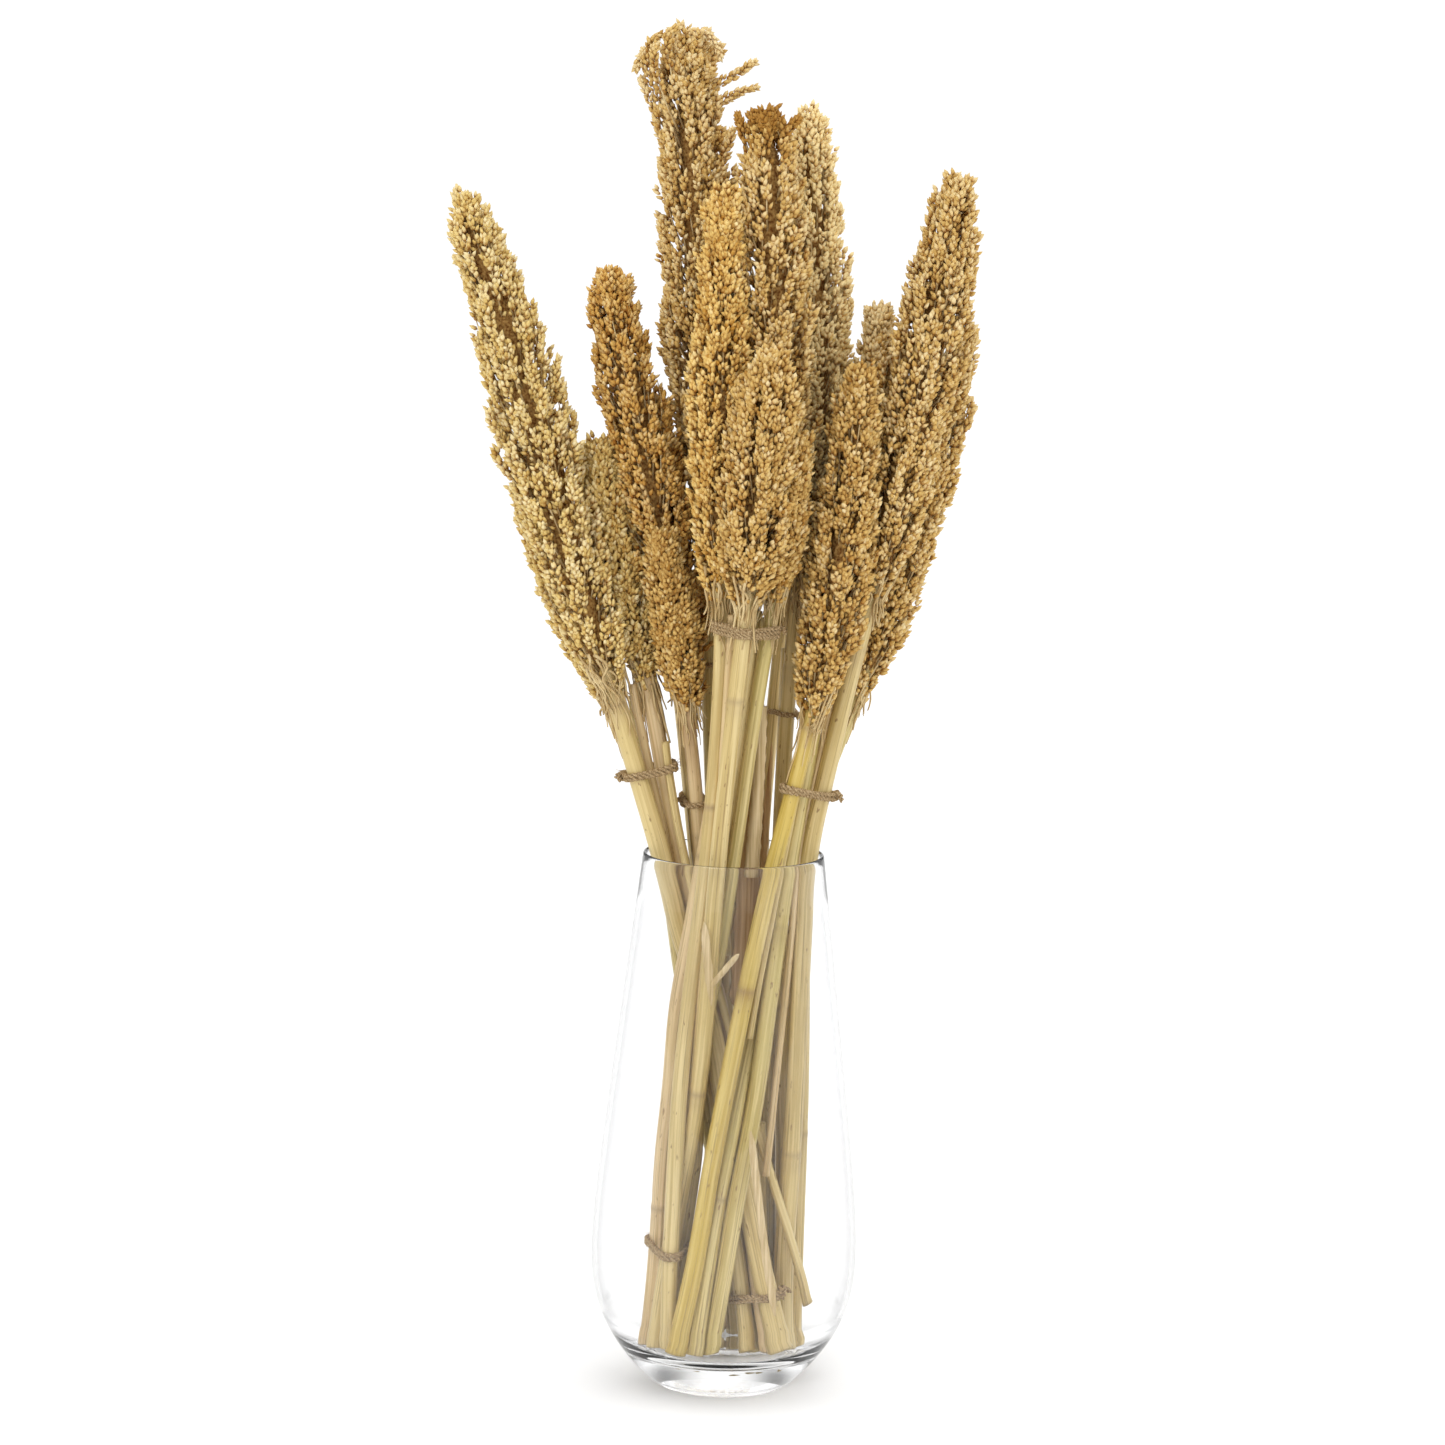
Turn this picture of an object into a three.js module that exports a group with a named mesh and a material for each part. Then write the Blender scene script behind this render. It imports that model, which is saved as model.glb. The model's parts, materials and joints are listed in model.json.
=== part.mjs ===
// Six tied bundles of dried sorghum grass standing in a clear glass vase.
//
// Frame: millimetres, +Z up. The origin is the centre of the vase's resting face, and -Y is the front.
// Every stalk, with its seed head, is a "strand": a row of horizontal rings whose centres drift sideways
// as the strand climbs. The strands start on hand-chosen lines and are then settled, which pushes them
// clear of each other and of the glass and lets the tied ones lean together, as in a real vase.

import * as THREE from 'three';

// ---------------------------------------------------------------------------------------------------
// Driving dimensions
// ---------------------------------------------------------------------------------------------------

// Glass vase
const VASE_HEIGHT = 300;
const FOOT_RADIUS = 38;         // flat resting face
const BELLY_RADIUS = 74;        // widest place
const BELLY_HEIGHT = 76;
const RIM_RADIUS = 50;
const WALL = 3;
const FOOT_ROUNDNESS = 2.4;     // power of the curve from belly to foot: higher turns in later
const NECK_EASE = 0.12;         // share of the neck over which the belly turns straight
const RIM_ROUNDING = 1.2;       // height over which the lip is rounded
const BASE_THICKNESS = 21;      // heavy base under the stalks
const FLOOR_RADIUS = 46;        // flat part of the inner floor
const FLOOR_FILLET = 20;        // height over which the inner floor curves up into the wall
const VASE_SIDES = 36;

// Grass
const STALK_RADIUS = 5;         // an ordinary stalk; each strand scales it with its own "stout"
const STALK_TAPER = 0.16;       // share of the radius lost between foot and neck
const HEAD_RADIUS = 20;         // the stoutest seed head; each head scales it with its own "full"
const TIP_RADIUS = 3;           // blunt end of a seed head
const STALK_SIDES = 7;
const HEAD_SIDES = 8;

// Ties
const TWINE_RADIUS = 1.1;
const TIE_LOOKS = 72;           // directions in which the outermost stalk is looked for
const TIE_BEND = Math.PI / 7;   // largest turn between two rings of the twine
const TWINE_SIDES = 5;
const TIE_MARGIN = 3;           // least height of a tied stalk above its tie
const TIE_PLANE_ROUNDS = 4;     // rounds that bring a tied place onto the tie's tilted plane
const TIE_LEAN_SPAN = 8;        // the bundle's lean is measured this far above and below a tie

// Dry leaves and sheaths that stand among the stalks
const LEAF_HALF_WIDTH = 3.6;
const LEAF_HALF_THICKNESS = 0.6;

// Clearances and the settling
const GAP = 0.45;               // between neighbours that touch
const GLASS_GAP = 1;            // between a stalk and the glass it leans on
const END_GAP = 0.35;           // between a stalk and its head, and between a foot and the floor
const SLICES_IN_VASE = 9;       // slices from the vase floor to its rim
const SETTLE_PASSES = 260;
const CLEAR_PASSES = 1400;
const STILL = 0.05;             // settled when nothing moves farther than this in a pass
const HOLD_SIDEWAYS = 0.1;      // share of the way back to a strand's own line in each pass
const HOLD_DEPTH = 0.04;
const STRAIGHTEN_DEPTH = 0.15;  // share of the way to a straight stalk from front to back
const SMOOTH = 0.35;            // share of the way to the middle of the two neighbouring places

const STRAW = { color: 0xd8bf80, roughness: 0.6, metalness: 0 };
const GRAIN = { color: 0xc89a50, roughness: 0.75, metalness: 0 };
const HUSK = { color: 0xb08a4c, roughness: 0.75, metalness: 0 };
const TWINE = { color: 0x8d7450, roughness: 0.9, metalness: 0 };
const GLASS = { color: 0xe8f2f2, roughness: 0.05, metalness: 0, transparent: true, opacity: 0.3 };

// ---------------------------------------------------------------------------------------------------
// The bundles
// ---------------------------------------------------------------------------------------------------
// foot: place on the vase floor; waist: place half-way up the vase, where the strand isn't straight;
// rim: place at the rim's height; neck, bends and tip: places with their height above the rim.
// stout scales the stalk and full the seed head. A lower "blunt" makes a head fuller at both ends, and
// lift raises a foot that stands on the curved wall.
// A strand with no "full" is a bare stalk whose neck is its upper end.
// ties: height of each tie above the rim, or above the floor where "low" is true, and its turns.

const BUNDLES = [
  {
    name: 'left',
    ties: [{ height: 44, turns: 1 }, { height: 30, low: true, turns: 2 }],
    strands: [
      { foot: [32, -13], rim: [-42, -3], neck: [-66, 0, 88], bends: [[-97, 0, 175], [-124, 0, 269]],
        tip: [-155, 0, 353], stout: 1.24, full: 1.02, blunt: 0.4 },
      { foot: [22, -6], rim: [-41, 12], neck: [-66, 21, 76], bends: [[-94, 23, 130]],
        tip: [-122, 24, 202], stout: 0.92, full: 0.6 },
      { foot: [29, -1], rim: [-32, 0], neck: [-46, 8, 88], bends: [[-60, 10, 150]],
        tip: [-79, 12, 220], stout: 1, full: 0.52 },
      { foot: [15, -11], rim: [-25, 7], neck: [-47, 28, 92], bends: [[-66, 34, 150]],
        tip: [-88, 40, 214], stout: 0.9, full: 0.55 },
      { foot: [47, -4], rim: [-31, -9], neck: [-40, -8, 62], stout: 0.52, lift: 24 },
    ],
  },
  {
    name: 'inner_left',
    ties: [{ height: 27, turns: 1 }],
    strands: [
      { foot: [24, 10], rim: [-27, 14], neck: [-31, 14, 86], bends: [[-48, 12, 175], [-62, 12, 250]],
        tip: [-77, 12, 314], stout: 1.04, full: 0.88, blunt: 0.4, lift: 14 },
      { foot: [-2, 16], rim: [-18, 9], neck: [-25, -8, 76], bends: [[-33, -12, 125]],
        tip: [-44, -12, 174], stout: 0.88, full: 0.5 },
      { foot: [8, 22], rim: [-20, 20], neck: [-33, 36, 100], bends: [[-46, 44, 170]],
        tip: [-62, 50, 258], stout: 0.94, full: 0.64 },
    ],
  },
  {
    name: 'tall',
    ties: [{ height: 101, turns: 1 }],
    strands: [
      { foot: [12, 32], rim: [-11, 28], neck: [-21, 26, 168], bends: [[-21, 30, 260], [-28, 30, 350]],
        tip: [-38, 30, 444], stout: 1.1, full: 0.93, blunt: 0.3 },
      { foot: [21, 34], rim: [-3, 34], neck: [-10, 48, 130], bends: [[-14, 56, 220]],
        tip: [-10, 58, 326], stout: 1, full: 0.74 },
      { foot: [3, 36], rim: [-12, 39], neck: [-20, 40, 128], stout: 0.7 },
    ],
  },
  {
    name: 'front',
    ties: [{ height: 128, turns: 2 }, { height: 58, low: true, turns: 1 }],
    strands: [
      { foot: [-40, -4], rim: [-17, -24], neck: [5, -18, 136], bends: [[12, -13, 220], [14, -9, 305]],
        tip: [8, -6, 403], stout: 1.08, full: 1.02, blunt: 0.4 },
      { foot: [-36, -17], rim: [-10, -34], neck: [3, -41, 139], bends: [[8, -48, 205]],
        tip: [13, -51, 274], stout: 1.08, full: 0.88, blunt: 0.4 },
      { foot: [-36, 8], rim: [-1, -26], neck: [16, -33, 139], bends: [[28, -36, 190]],
        tip: [29, -37, 231], stout: 0.88, full: 0.38 },
      { foot: [-29, -25], rim: [-13, -32], neck: [-6, -32, 139], bends: [[-11, -28, 230]],
        tip: [-14, -20, 358], stout: 0.92, full: 0.64, blunt: 0.4 },
      { foot: [-31, 4], rim: [-5, -18], neck: [7, -26, 122], stout: 0.8 },
    ],
  },
  {
    name: 'golden',
    ties: [{ height: 74, turns: 1 }],
    strands: [
      { foot: [37, 16], rim: [23, 16], neck: [30, 30, 137], bends: [[41, 37, 220], [40, 37, 305]],
        tip: [31, 37, 403], stout: 1, full: 0.78, blunt: 0.4 },
      { foot: [31, 26], rim: [14, 27], neck: [24, 52, 130], bends: [[34, 64, 210]],
        tip: [38, 66, 308], stout: 0.92, full: 0.68 },
      { foot: [26, 18], rim: [25, 27], neck: [27, 36, 110], stout: 0.8 },
    ],
  },
  {
    name: 'right',
    ties: [{ height: 35, turns: 1 }],
    strands: [
      { foot: [33, 2], waist: [38, 4], rim: [39, -4], neck: [69, -3, 141],
        bends: [[94, 0, 241], [105, 0, 307]], tip: [113, 0, 370], stout: 1.2, full: 0.88, blunt: 0.4 },
      { foot: [-27, -31], rim: [20, -23], neck: [42, -21, 74], bends: [[56, -22, 149]],
        tip: [62, -22, 266], stout: 1.04, full: 0.74, blunt: 0.4 },
      { foot: [38, 10], waist: [43, 12], rim: [40, 8], neck: [63, 26, 139], bends: [[71, 28, 200]],
        tip: [73, 28, 298], stout: 0.88, full: 0.53 },
      { foot: [-7, -25], rim: [30, -11], neck: [47, -2, 95], bends: [[58, 4, 170]],
        tip: [68, 10, 262], stout: 1.04, full: 0.5 },
      { foot: [-16, -31], rim: [32, 0], neck: [64, 16, 81], bends: [[88, 24, 140], [108, 27, 218]],
        tip: [121, 27, 286], stout: 0.92, full: 0.58 },
    ],
  },
];

// Dry pieces that stand loose between the stalks of the front bundle.
const LEAVES = [
  { name: 'dry_leaf_1', from: [9, -6, -30], tip: [14, -6, 88], turn: 0.3 },
  { name: 'dry_leaf_2', from: [13, -1, -40], tip: [19, -4, 62], turn: -0.4 },
  { name: 'cut_sheath', from: [10, -15, -12], tip: [12, -17, 84], turn: 0.1 },
];

// ---------------------------------------------------------------------------------------------------
// Vase
// ---------------------------------------------------------------------------------------------------

// Outer radius: swells from the foot to the belly, then draws in almost straight to the rim.
function outerRadius(z) {
  if (z <= BELLY_HEIGHT) {
    const below = 1 - z / BELLY_HEIGHT;
    return BELLY_RADIUS - (BELLY_RADIUS - FOOT_RADIUS) * below ** FOOT_ROUNDNESS;
  }
  const rise = (z - BELLY_HEIGHT) / (VASE_HEIGHT - BELLY_HEIGHT);
  const drawn = (Math.hypot(rise, NECK_EASE) - NECK_EASE) / (Math.hypot(1, NECK_EASE) - NECK_EASE);
  return BELLY_RADIUS - (BELLY_RADIUS - RIM_RADIUS) * drawn;
}

// Evenly spaced values from one number to another, with both ends.
function stepsBetween(from, to, steps) {
  return Array.from({ length: steps + 1 }, (_, step) => from + (to - from) * (step / steps));
}

const LIP_Z = VASE_HEIGHT - RIM_ROUNDING;
const FILLET_Z = BASE_THICKNESS + FLOOR_FILLET;

// Inner wall from the floor's edge up to the lip, as points of radius and height: a quarter-round rise
// from the flat floor, then one wall inside the outer face.
const INNER_WALL = stepsBetween(0, 1, 5).slice(0, -1).map((part) => {
  const angle = part * (Math.PI / 2);
  const wall = outerRadius(FILLET_Z) - WALL;
  const floorEdge = Math.min(FLOOR_RADIUS, outerRadius(BASE_THICKNESS) - WALL);
  const radius = floorEdge + (wall - floorEdge) * Math.sin(angle);
  return [radius, FILLET_Z - FLOOR_FILLET * Math.cos(angle)];
}).concat(
  stepsBetween(FILLET_Z, BELLY_HEIGHT, 2).slice(0, -1).map((z) => [outerRadius(z) - WALL, z]),
  stepsBetween(BELLY_HEIGHT, LIP_Z, 5).map((z) => [outerRadius(z) - WALL, z]),
);

// Inner radius at a height, straight between those points, and past the flats of the faceted glass.
function roomInGlass(z) {
  let upper = INNER_WALL.findIndex((point) => point[1] >= z);
  if (upper === 0) upper = 1;
  if (upper < 0) upper = INNER_WALL.length - 1;
  const [low, high] = [INNER_WALL[upper - 1], INNER_WALL[upper]];
  const part = (z - low[1]) / (high[1] - low[1]);
  return (low[0] + (high[0] - low[0]) * part) * Math.cos(Math.PI / VASE_SIDES);
}

function glassVase() {
  const outside = stepsBetween(0, BELLY_HEIGHT, 6).concat(
    stepsBetween(BELLY_HEIGHT, LIP_Z, 5).slice(1));
  const outline = [[0, 0]].concat(
    outside.map((z) => [outerRadius(z), z]),
    [[RIM_RADIUS - WALL / 2, VASE_HEIGHT]],
    INNER_WALL.toReversed(),
    [[0, BASE_THICKNESS]],
  );
  const points = outline.map(([radius, z]) => new THREE.Vector2(radius, z));
  const geometry = new THREE.LatheGeometry(points, VASE_SIDES);
  geometry.rotateX(Math.PI / 2);
  return geometry;
}

// ---------------------------------------------------------------------------------------------------
// Strands
// ---------------------------------------------------------------------------------------------------

const FLOOR_Z = BASE_THICKNESS + END_GAP;
const SLICE = (VASE_HEIGHT - FLOOR_Z) / SLICES_IN_VASE;   // one slice lies exactly at the rim
const aboveRim = ([x, y, height]) => [x, y, VASE_HEIGHT + height];

// Place on a row of points at a height, straight between one point and the next.
function placeAt(points, z) {
  let upper = 1;
  while (upper < points.length - 1 && points[upper][2] < z) upper += 1;
  const [a, b] = [points[upper - 1], points[upper]];
  const part = (z - a[2]) / (b[2] - a[2]);
  return [a[0] + (b[0] - a[0]) * part, a[1] + (b[1] - a[1]) * part];
}

function makeStrand(bundle, spec, number) {
  const footZ = FLOOR_Z + (spec.lift ?? 0);
  const points = [[...spec.foot, footZ]];
  if (spec.waist) points.push([...spec.waist, VASE_HEIGHT / 2]);
  points.push([...spec.rim, VASE_HEIGHT]);
  points.push(aboveRim(spec.neck));
  (spec.bends ?? []).forEach((bend) => points.push(aboveRim(bend)));
  if (spec.tip) points.push(aboveRim(spec.tip));
  const strand = { bundle, number, footZ };
  strand.neckZ = aboveRim(spec.neck)[2];
  strand.topZ = points[points.length - 1][2];
  strand.stalk = STALK_RADIUS * spec.stout;
  strand.head = HEAD_RADIUS * (spec.full ?? 0);
  strand.blunt = spec.blunt ?? 0.5;
  return { ...strand, ...layOut(points, footZ, strand.topZ) };
}

// A loose leaf is a strand that has no head and keeps its own half-width all the way up.
function makeLeaf(spec) {
  const points = [aboveRim(spec.from), aboveRim(spec.tip)];
  const strand = { bundle: spec.name, leaf: spec, footZ: points[0][2], neckZ: points[1][2] };
  strand.topZ = strand.neckZ;
  strand.stalk = LEAF_HALF_WIDTH;
  return { ...strand, ...layOut(points, strand.footZ, strand.topZ) };
}

// Places on every slice that the strand crosses, with one slice beyond each end.
function layOut(points, fromZ, toZ) {
  const first = Math.floor((fromZ - FLOOR_Z) / SLICE);
  const last = Math.ceil((toZ - FLOOR_Z) / SLICE);
  const aim = [];
  for (let slice = first; slice <= last; slice += 1) {
    aim.push(placeAt(points, FLOOR_Z + slice * SLICE));
  }
  return { first, last, aim, at: aim.map((place) => [...place]) };
}

// Radius at a height: a gently tapering stalk, then a full spindle for the head.
function radiusAt(strand, z) {
  const climb = (z - strand.footZ) / (strand.neckZ - strand.footZ);
  if (strand.leaf) return strand.stalk;
  const stalk = strand.stalk * (1 - STALK_TAPER * Math.min(Math.max(climb, 0), 1));
  if (!strand.head || z < strand.neckZ) return stalk;
  const along = Math.min((z - strand.neckZ) / (strand.topZ - strand.neckZ), 1);
  const spindle = strand.head * Math.sin(Math.PI * along ** 0.87) ** strand.blunt;
  return Math.max(spindle || 0, TIP_RADIUS + (stalk - TIP_RADIUS) * (1 - along));
}

function centreAt(strand, z) {
  const row = (z - FLOOR_Z) / SLICE - strand.first;
  const low = Math.min(Math.max(Math.floor(row), 0), strand.at.length - 2);
  const part = row - low;
  const [a, b] = [strand.at[low], strand.at[low + 1]];
  return [a[0] + (b[0] - a[0]) * part, a[1] + (b[1] - a[1]) * part];
}

const strands = BUNDLES.flatMap((bundle) => (
  bundle.strands.map((spec, index) => makeStrand(bundle.name, spec, index + 1))));
strands.push(...LEAVES.map(makeLeaf));

// Heights of the ties, so that room is kept for the twine there.
const ties = BUNDLES.flatMap((bundle) => bundle.ties.map((tie, index) => ({
  bundle: bundle.name,
  name: `${bundle.name}_tie_${index + 1}`,
  turns: tie.turns,
  z: tie.low ? FLOOR_Z + tie.height : VASE_HEIGHT + tie.height,
})));

const TWINE_ROOM = 2 * TWINE_RADIUS + 4 * GAP;
const TWINE_REACH = 2 * TWINE_RADIUS + 2.4 * GAP;

// The strands that a tie goes round: those of its bundle that stand well below it and end above it.
const tiedBy = (tie) => strands.filter((strand) => (
  strand.bundle === tie.bundle && strand.footZ < tie.z - SLICE / 2 && strand.neckZ > tie.z + TIE_MARGIN));

function twineRoom(bundle, z) {
  const near = ties.some((tie) => tie.bundle === bundle && Math.abs(tie.z - z) < SLICE * 0.6);
  return near ? TWINE_ROOM : 0;
}

// ---------------------------------------------------------------------------------------------------
// Settling
// ---------------------------------------------------------------------------------------------------

// Pushes two strands apart wherever their circles come too close between two slices.
function pushApart(a, b) {
  let moved = 0;
  const low = Math.max(a.footZ, b.footZ);
  const high = Math.min(a.topZ, b.topZ);
  const firstSlice = Math.max(a.first, b.first);
  const lastSlice = Math.min(a.last, b.last) - 1;
  for (let slice = firstSlice; slice <= lastSlice; slice += 1) {
    const [a0, a1] = [a.at[slice - a.first], a.at[slice - a.first + 1]];
    const [b0, b1] = [b.at[slice - b.first], b.at[slice - b.first + 1]];
    for (let part = 0; part <= 1; part += 0.25) {
      const z = FLOOR_Z + (slice + part) * SLICE;
      if (z < low - SLICE / 4 || z > high + SLICE / 4) continue;
      const dx = (a0[0] - b0[0]) * (1 - part) + (a1[0] - b1[0]) * part;
      const dy = (a0[1] - b0[1]) * (1 - part) + (a1[1] - b1[1]) * part;
      const room = a.bundle === b.bundle ? 0 : twineRoom(a.bundle, z) + twineRoom(b.bundle, z);
      const apart = Math.hypot(dx, dy) || 0.01;
      const short = radiusAt(a, z) + radiusAt(b, z) + GAP + room - apart;
      if (short <= 0) continue;
      const weight = (1 - part) ** 2 + part ** 2;
      const stepX = (dx / apart) * short * (0.5 / weight);
      const stepY = (dy / apart) * short * (0.5 / weight);
      a0[0] += stepX * (1 - part);
      a0[1] += stepY * (1 - part);
      a1[0] += stepX * part;
      a1[1] += stepY * part;
      b0[0] -= stepX * (1 - part);
      b0[1] -= stepY * (1 - part);
      b1[0] -= stepX * part;
      b1[1] -= stepY * part;
      moved = Math.max(moved, short);
    }
  }
  return moved;
}

// Keeps a strand inside the glass on every slice up to the rim.
function keepInside(strand) {
  strand.at.forEach((place, index) => {
    const z = FLOOR_Z + (strand.first + index) * SLICE;
    if (z > VASE_HEIGHT + GAP) return;
    const height = Math.max(z, strand.footZ);
    const taken = radiusAt(strand, height) + GLASS_GAP + twineRoom(strand.bundle, z);
    const allowed = roomInGlass(height) - taken;
    const out = Math.hypot(place[0], place[1]);
    if (out <= allowed) return;
    place[0] *= allowed / out;
    place[1] *= allowed / out;
  });
}

// Draws each strand back towards its own line, straightens it, and pulls its stalk straight from front
// to back.
function relax(strand) {
  const count = strand.at.length;
  const neck = Math.round((strand.neckZ - FLOOR_Z) / SLICE) - strand.first;
  strand.at.forEach((place, index) => {
    place[0] += (strand.aim[index][0] - place[0]) * HOLD_SIDEWAYS;
    place[1] += (strand.aim[index][1] - place[1]) * HOLD_DEPTH;
    if (index >= neck) return;
    const straight = strand.at[0][1] + (strand.at[neck][1] - strand.at[0][1]) * (index / neck);
    place[1] += (straight - place[1]) * STRAIGHTEN_DEPTH;
  });
  for (let index = 1; index < count - 1; index += 1) {
    for (let axis = 0; axis < 2; axis += 1) {
      const middle = (strand.at[index - 1][axis] + strand.at[index + 1][axis]) / 2;
      strand.at[index][axis] += (middle - strand.at[index][axis]) * SMOOTH;
    }
  }
}

// Moves a strand sideways at one height by shifting the two slices around it.
function nudge(strand, z, dx, dy) {
  const row = (z - FLOOR_Z) / SLICE - strand.first;
  const low = Math.min(Math.max(Math.floor(row), 0), strand.at.length - 2);
  const part = row - low;
  const weight = (1 - part) ** 2 + part ** 2;
  [[low, 1 - part], [low + 1, part]].forEach(([slice, share]) => {
    strand.at[slice][0] += (dx * share) / weight;
    strand.at[slice][1] += (dy * share) / weight;
  });
}

// Keeps every other bundle's strands out of the straight stretches of a tie, which run from one tied
// stalk to the next.
function keepOffTie(tie) {
  let moved = 0;
  const tied = tiedBy(tie);
  const others = strands.filter((strand) => (
    strand.bundle !== tie.bundle && strand.footZ < tie.z && strand.topZ > tie.z));
  const place = new Map([...tied, ...others].map((strand) => [strand, centreAt(strand, tie.z)]));
  tied.forEach((first, index) => tied.slice(index + 1).forEach((second) => {
    const [a, b] = [place.get(first), place.get(second)];
    const [runX, runY] = [b[0] - a[0], b[1] - a[1]];
    others.forEach((other) => {
      const c = place.get(other);
      const along = ((c[0] - a[0]) * runX + (c[1] - a[1]) * runY) / (runX ** 2 + runY ** 2);
      if (along <= 0 || along >= 1) return;
      const [dx, dy] = [c[0] - a[0] - runX * along, c[1] - a[1] - runY * along];
      const apart = Math.hypot(dx, dy) || 0.01;
      const width = radiusAt(first, tie.z) * (1 - along) + radiusAt(second, tie.z) * along;
      const short = radiusAt(other, tie.z) + width + TWINE_REACH - apart;
      if (short <= 0) return;
      const [stepX, stepY] = [(dx / apart) * short, (dy / apart) * short];
      nudge(other, tie.z, stepX / 2, stepY / 2);
      nudge(first, tie.z, -stepX * (1 - along) / 2, -stepY * (1 - along) / 2);
      nudge(second, tie.z, -stepX * along / 2, -stepY * along / 2);
      moved = Math.max(moved, short);
    });
  }));
  return moved;
}

function pushAllApart() {
  let moved = 0;
  ties.forEach((tie) => {
    moved = Math.max(moved, keepOffTie(tie));
  });
  for (let first = 0; first < strands.length; first += 1) {
    for (let second = first + 1; second < strands.length; second += 1) {
      moved = Math.max(moved, pushApart(strands[first], strands[second]));
    }
  }
  strands.forEach(keepInside);
  return moved;
}

for (let pass = 0; pass < SETTLE_PASSES; pass += 1) {
  strands.forEach(relax);
  pushAllApart();
}
for (let pass = 0; pass < CLEAR_PASSES; pass += 1) {
  if (pushAllApart() < STILL) break;
}

// ---------------------------------------------------------------------------------------------------
// Solids
// ---------------------------------------------------------------------------------------------------

// A closed body through rings of the same number of points, each ring running anticlockwise.
function loft(rings) {
  const sides = rings[0].length;
  const positions = rings.flat(2);
  const faces = [];
  for (let ring = 0; ring < rings.length - 1; ring += 1) {
    for (let side = 0; side < sides; side += 1) {
      const next = (side + 1) % sides;
      const [a, b] = [ring * sides + side, ring * sides + next];
      faces.push(a, b, b + sides, a, b + sides, a + sides);
    }
  }
  const last = (rings.length - 1) * sides;
  for (let side = 1; side < sides - 1; side += 1) {
    faces.push(0, side + 1, side);
    faces.push(last, last + side, last + side + 1);
  }
  return solid(positions, faces);
}

function solid(positions, faces) {
  const geometry = new THREE.BufferGeometry();
  geometry.setAttribute('position', new THREE.Float32BufferAttribute(positions, 3));
  geometry.setIndex(faces);
  geometry.computeVertexNormals();
  return geometry;
}

// Heights of the rings between two heights: both ends and every slice between. Within "fine" of an end
// there are half-slices too.
function ringHeights(fromZ, toZ, fine = 0) {
  const heights = [fromZ];
  const margin = SLICE / 8;
  const steps = Math.ceil((toZ - FLOOR_Z) / SLICE) * 2;
  for (let step = 0; step < steps; step += 1) {
    const z = FLOOR_Z + step * (SLICE / 2);
    const nearEnd = z < fromZ + fine || z > toZ - fine;
    if (z > fromZ + margin && z < toZ - margin && (step % 2 === 0 || nearEnd)) heights.push(z);
  }
  return [...heights, toZ];
}

function circleRing(strand, z, sides) {
  const [x, y] = centreAt(strand, z);
  const radius = radiusAt(strand, z);
  return Array.from({ length: sides }, (_, side) => {
    const angle = (side / sides) * 2 * Math.PI;
    return [x + radius * Math.cos(angle), y + radius * Math.sin(angle), z];
  });
}

function stalkSolid(strand) {
  const heights = ringHeights(strand.footZ, strand.neckZ);
  return loft(heights.map((z) => circleRing(strand, z, STALK_SIDES)));
}

function headSolid(strand) {
  const heights = ringHeights(strand.neckZ + END_GAP, strand.topZ, SLICE * 1.2);
  return loft(heights.map((z) => circleRing(strand, z, HEAD_SIDES)));
}

// A thin blade, pointed at the top, that twists a little as it climbs.
function leafSolid(strand) {
  const heights = ringHeights(strand.footZ, strand.topZ);
  return loft(heights.map((z) => {
    const [x, y] = centreAt(strand, z);
    const climb = (z - strand.footZ) / (strand.topZ - strand.footZ);
    const half = LEAF_HALF_WIDTH * Math.max(Math.sqrt(1 - climb ** 3), 0.12);
    const turn = strand.leaf.turn * (1 + climb);
    const corners = [[half, 0], [0, LEAF_HALF_THICKNESS], [-half, 0], [0, -LEAF_HALF_THICKNESS]];
    return corners.map(([across, thick]) => [
      x + across * Math.cos(turn) - thick * Math.sin(turn),
      y + across * Math.sin(turn) + thick * Math.cos(turn),
      z,
    ]);
  }));
}

// The places where a taut loop touches a group of circles: each outer circle with the angles over which
// it is the outermost one.
function outerArcs(sections) {
  const looks = Array.from({ length: TIE_LOOKS }, (_, look) => {
    const angle = (look / TIE_LOOKS) * 2 * Math.PI;
    const out = ({ place, radius }) => place[0] * Math.cos(angle) + place[1] * Math.sin(angle) + radius;
    const section = sections.reduce((best, other) => (out(other) > out(best) ? other : best));
    return { section, angle };
  });
  const start = looks.findIndex(({ section }, look) => section !== looks.at(look - 1).section);
  const inOrder = looks.slice(start).concat(
    looks.slice(0, start).map(({ section, angle }) => ({ section, angle: angle + 2 * Math.PI })));
  const arcs = [];
  inOrder.forEach(({ section, angle }) => {
    const arc = arcs.at(-1);
    if (arc && arc.section === section) arc.to = angle;
    else arcs.push({ section, from: angle, to: angle });
  });
  return arcs.flatMap(({ section, from, to }) => {
    const steps = Math.max(Math.ceil((to - from) / TIE_BEND), 1);
    return stepsBetween(from, to, steps).map((angle) => ({ section, angle }));
  });
}

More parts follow.
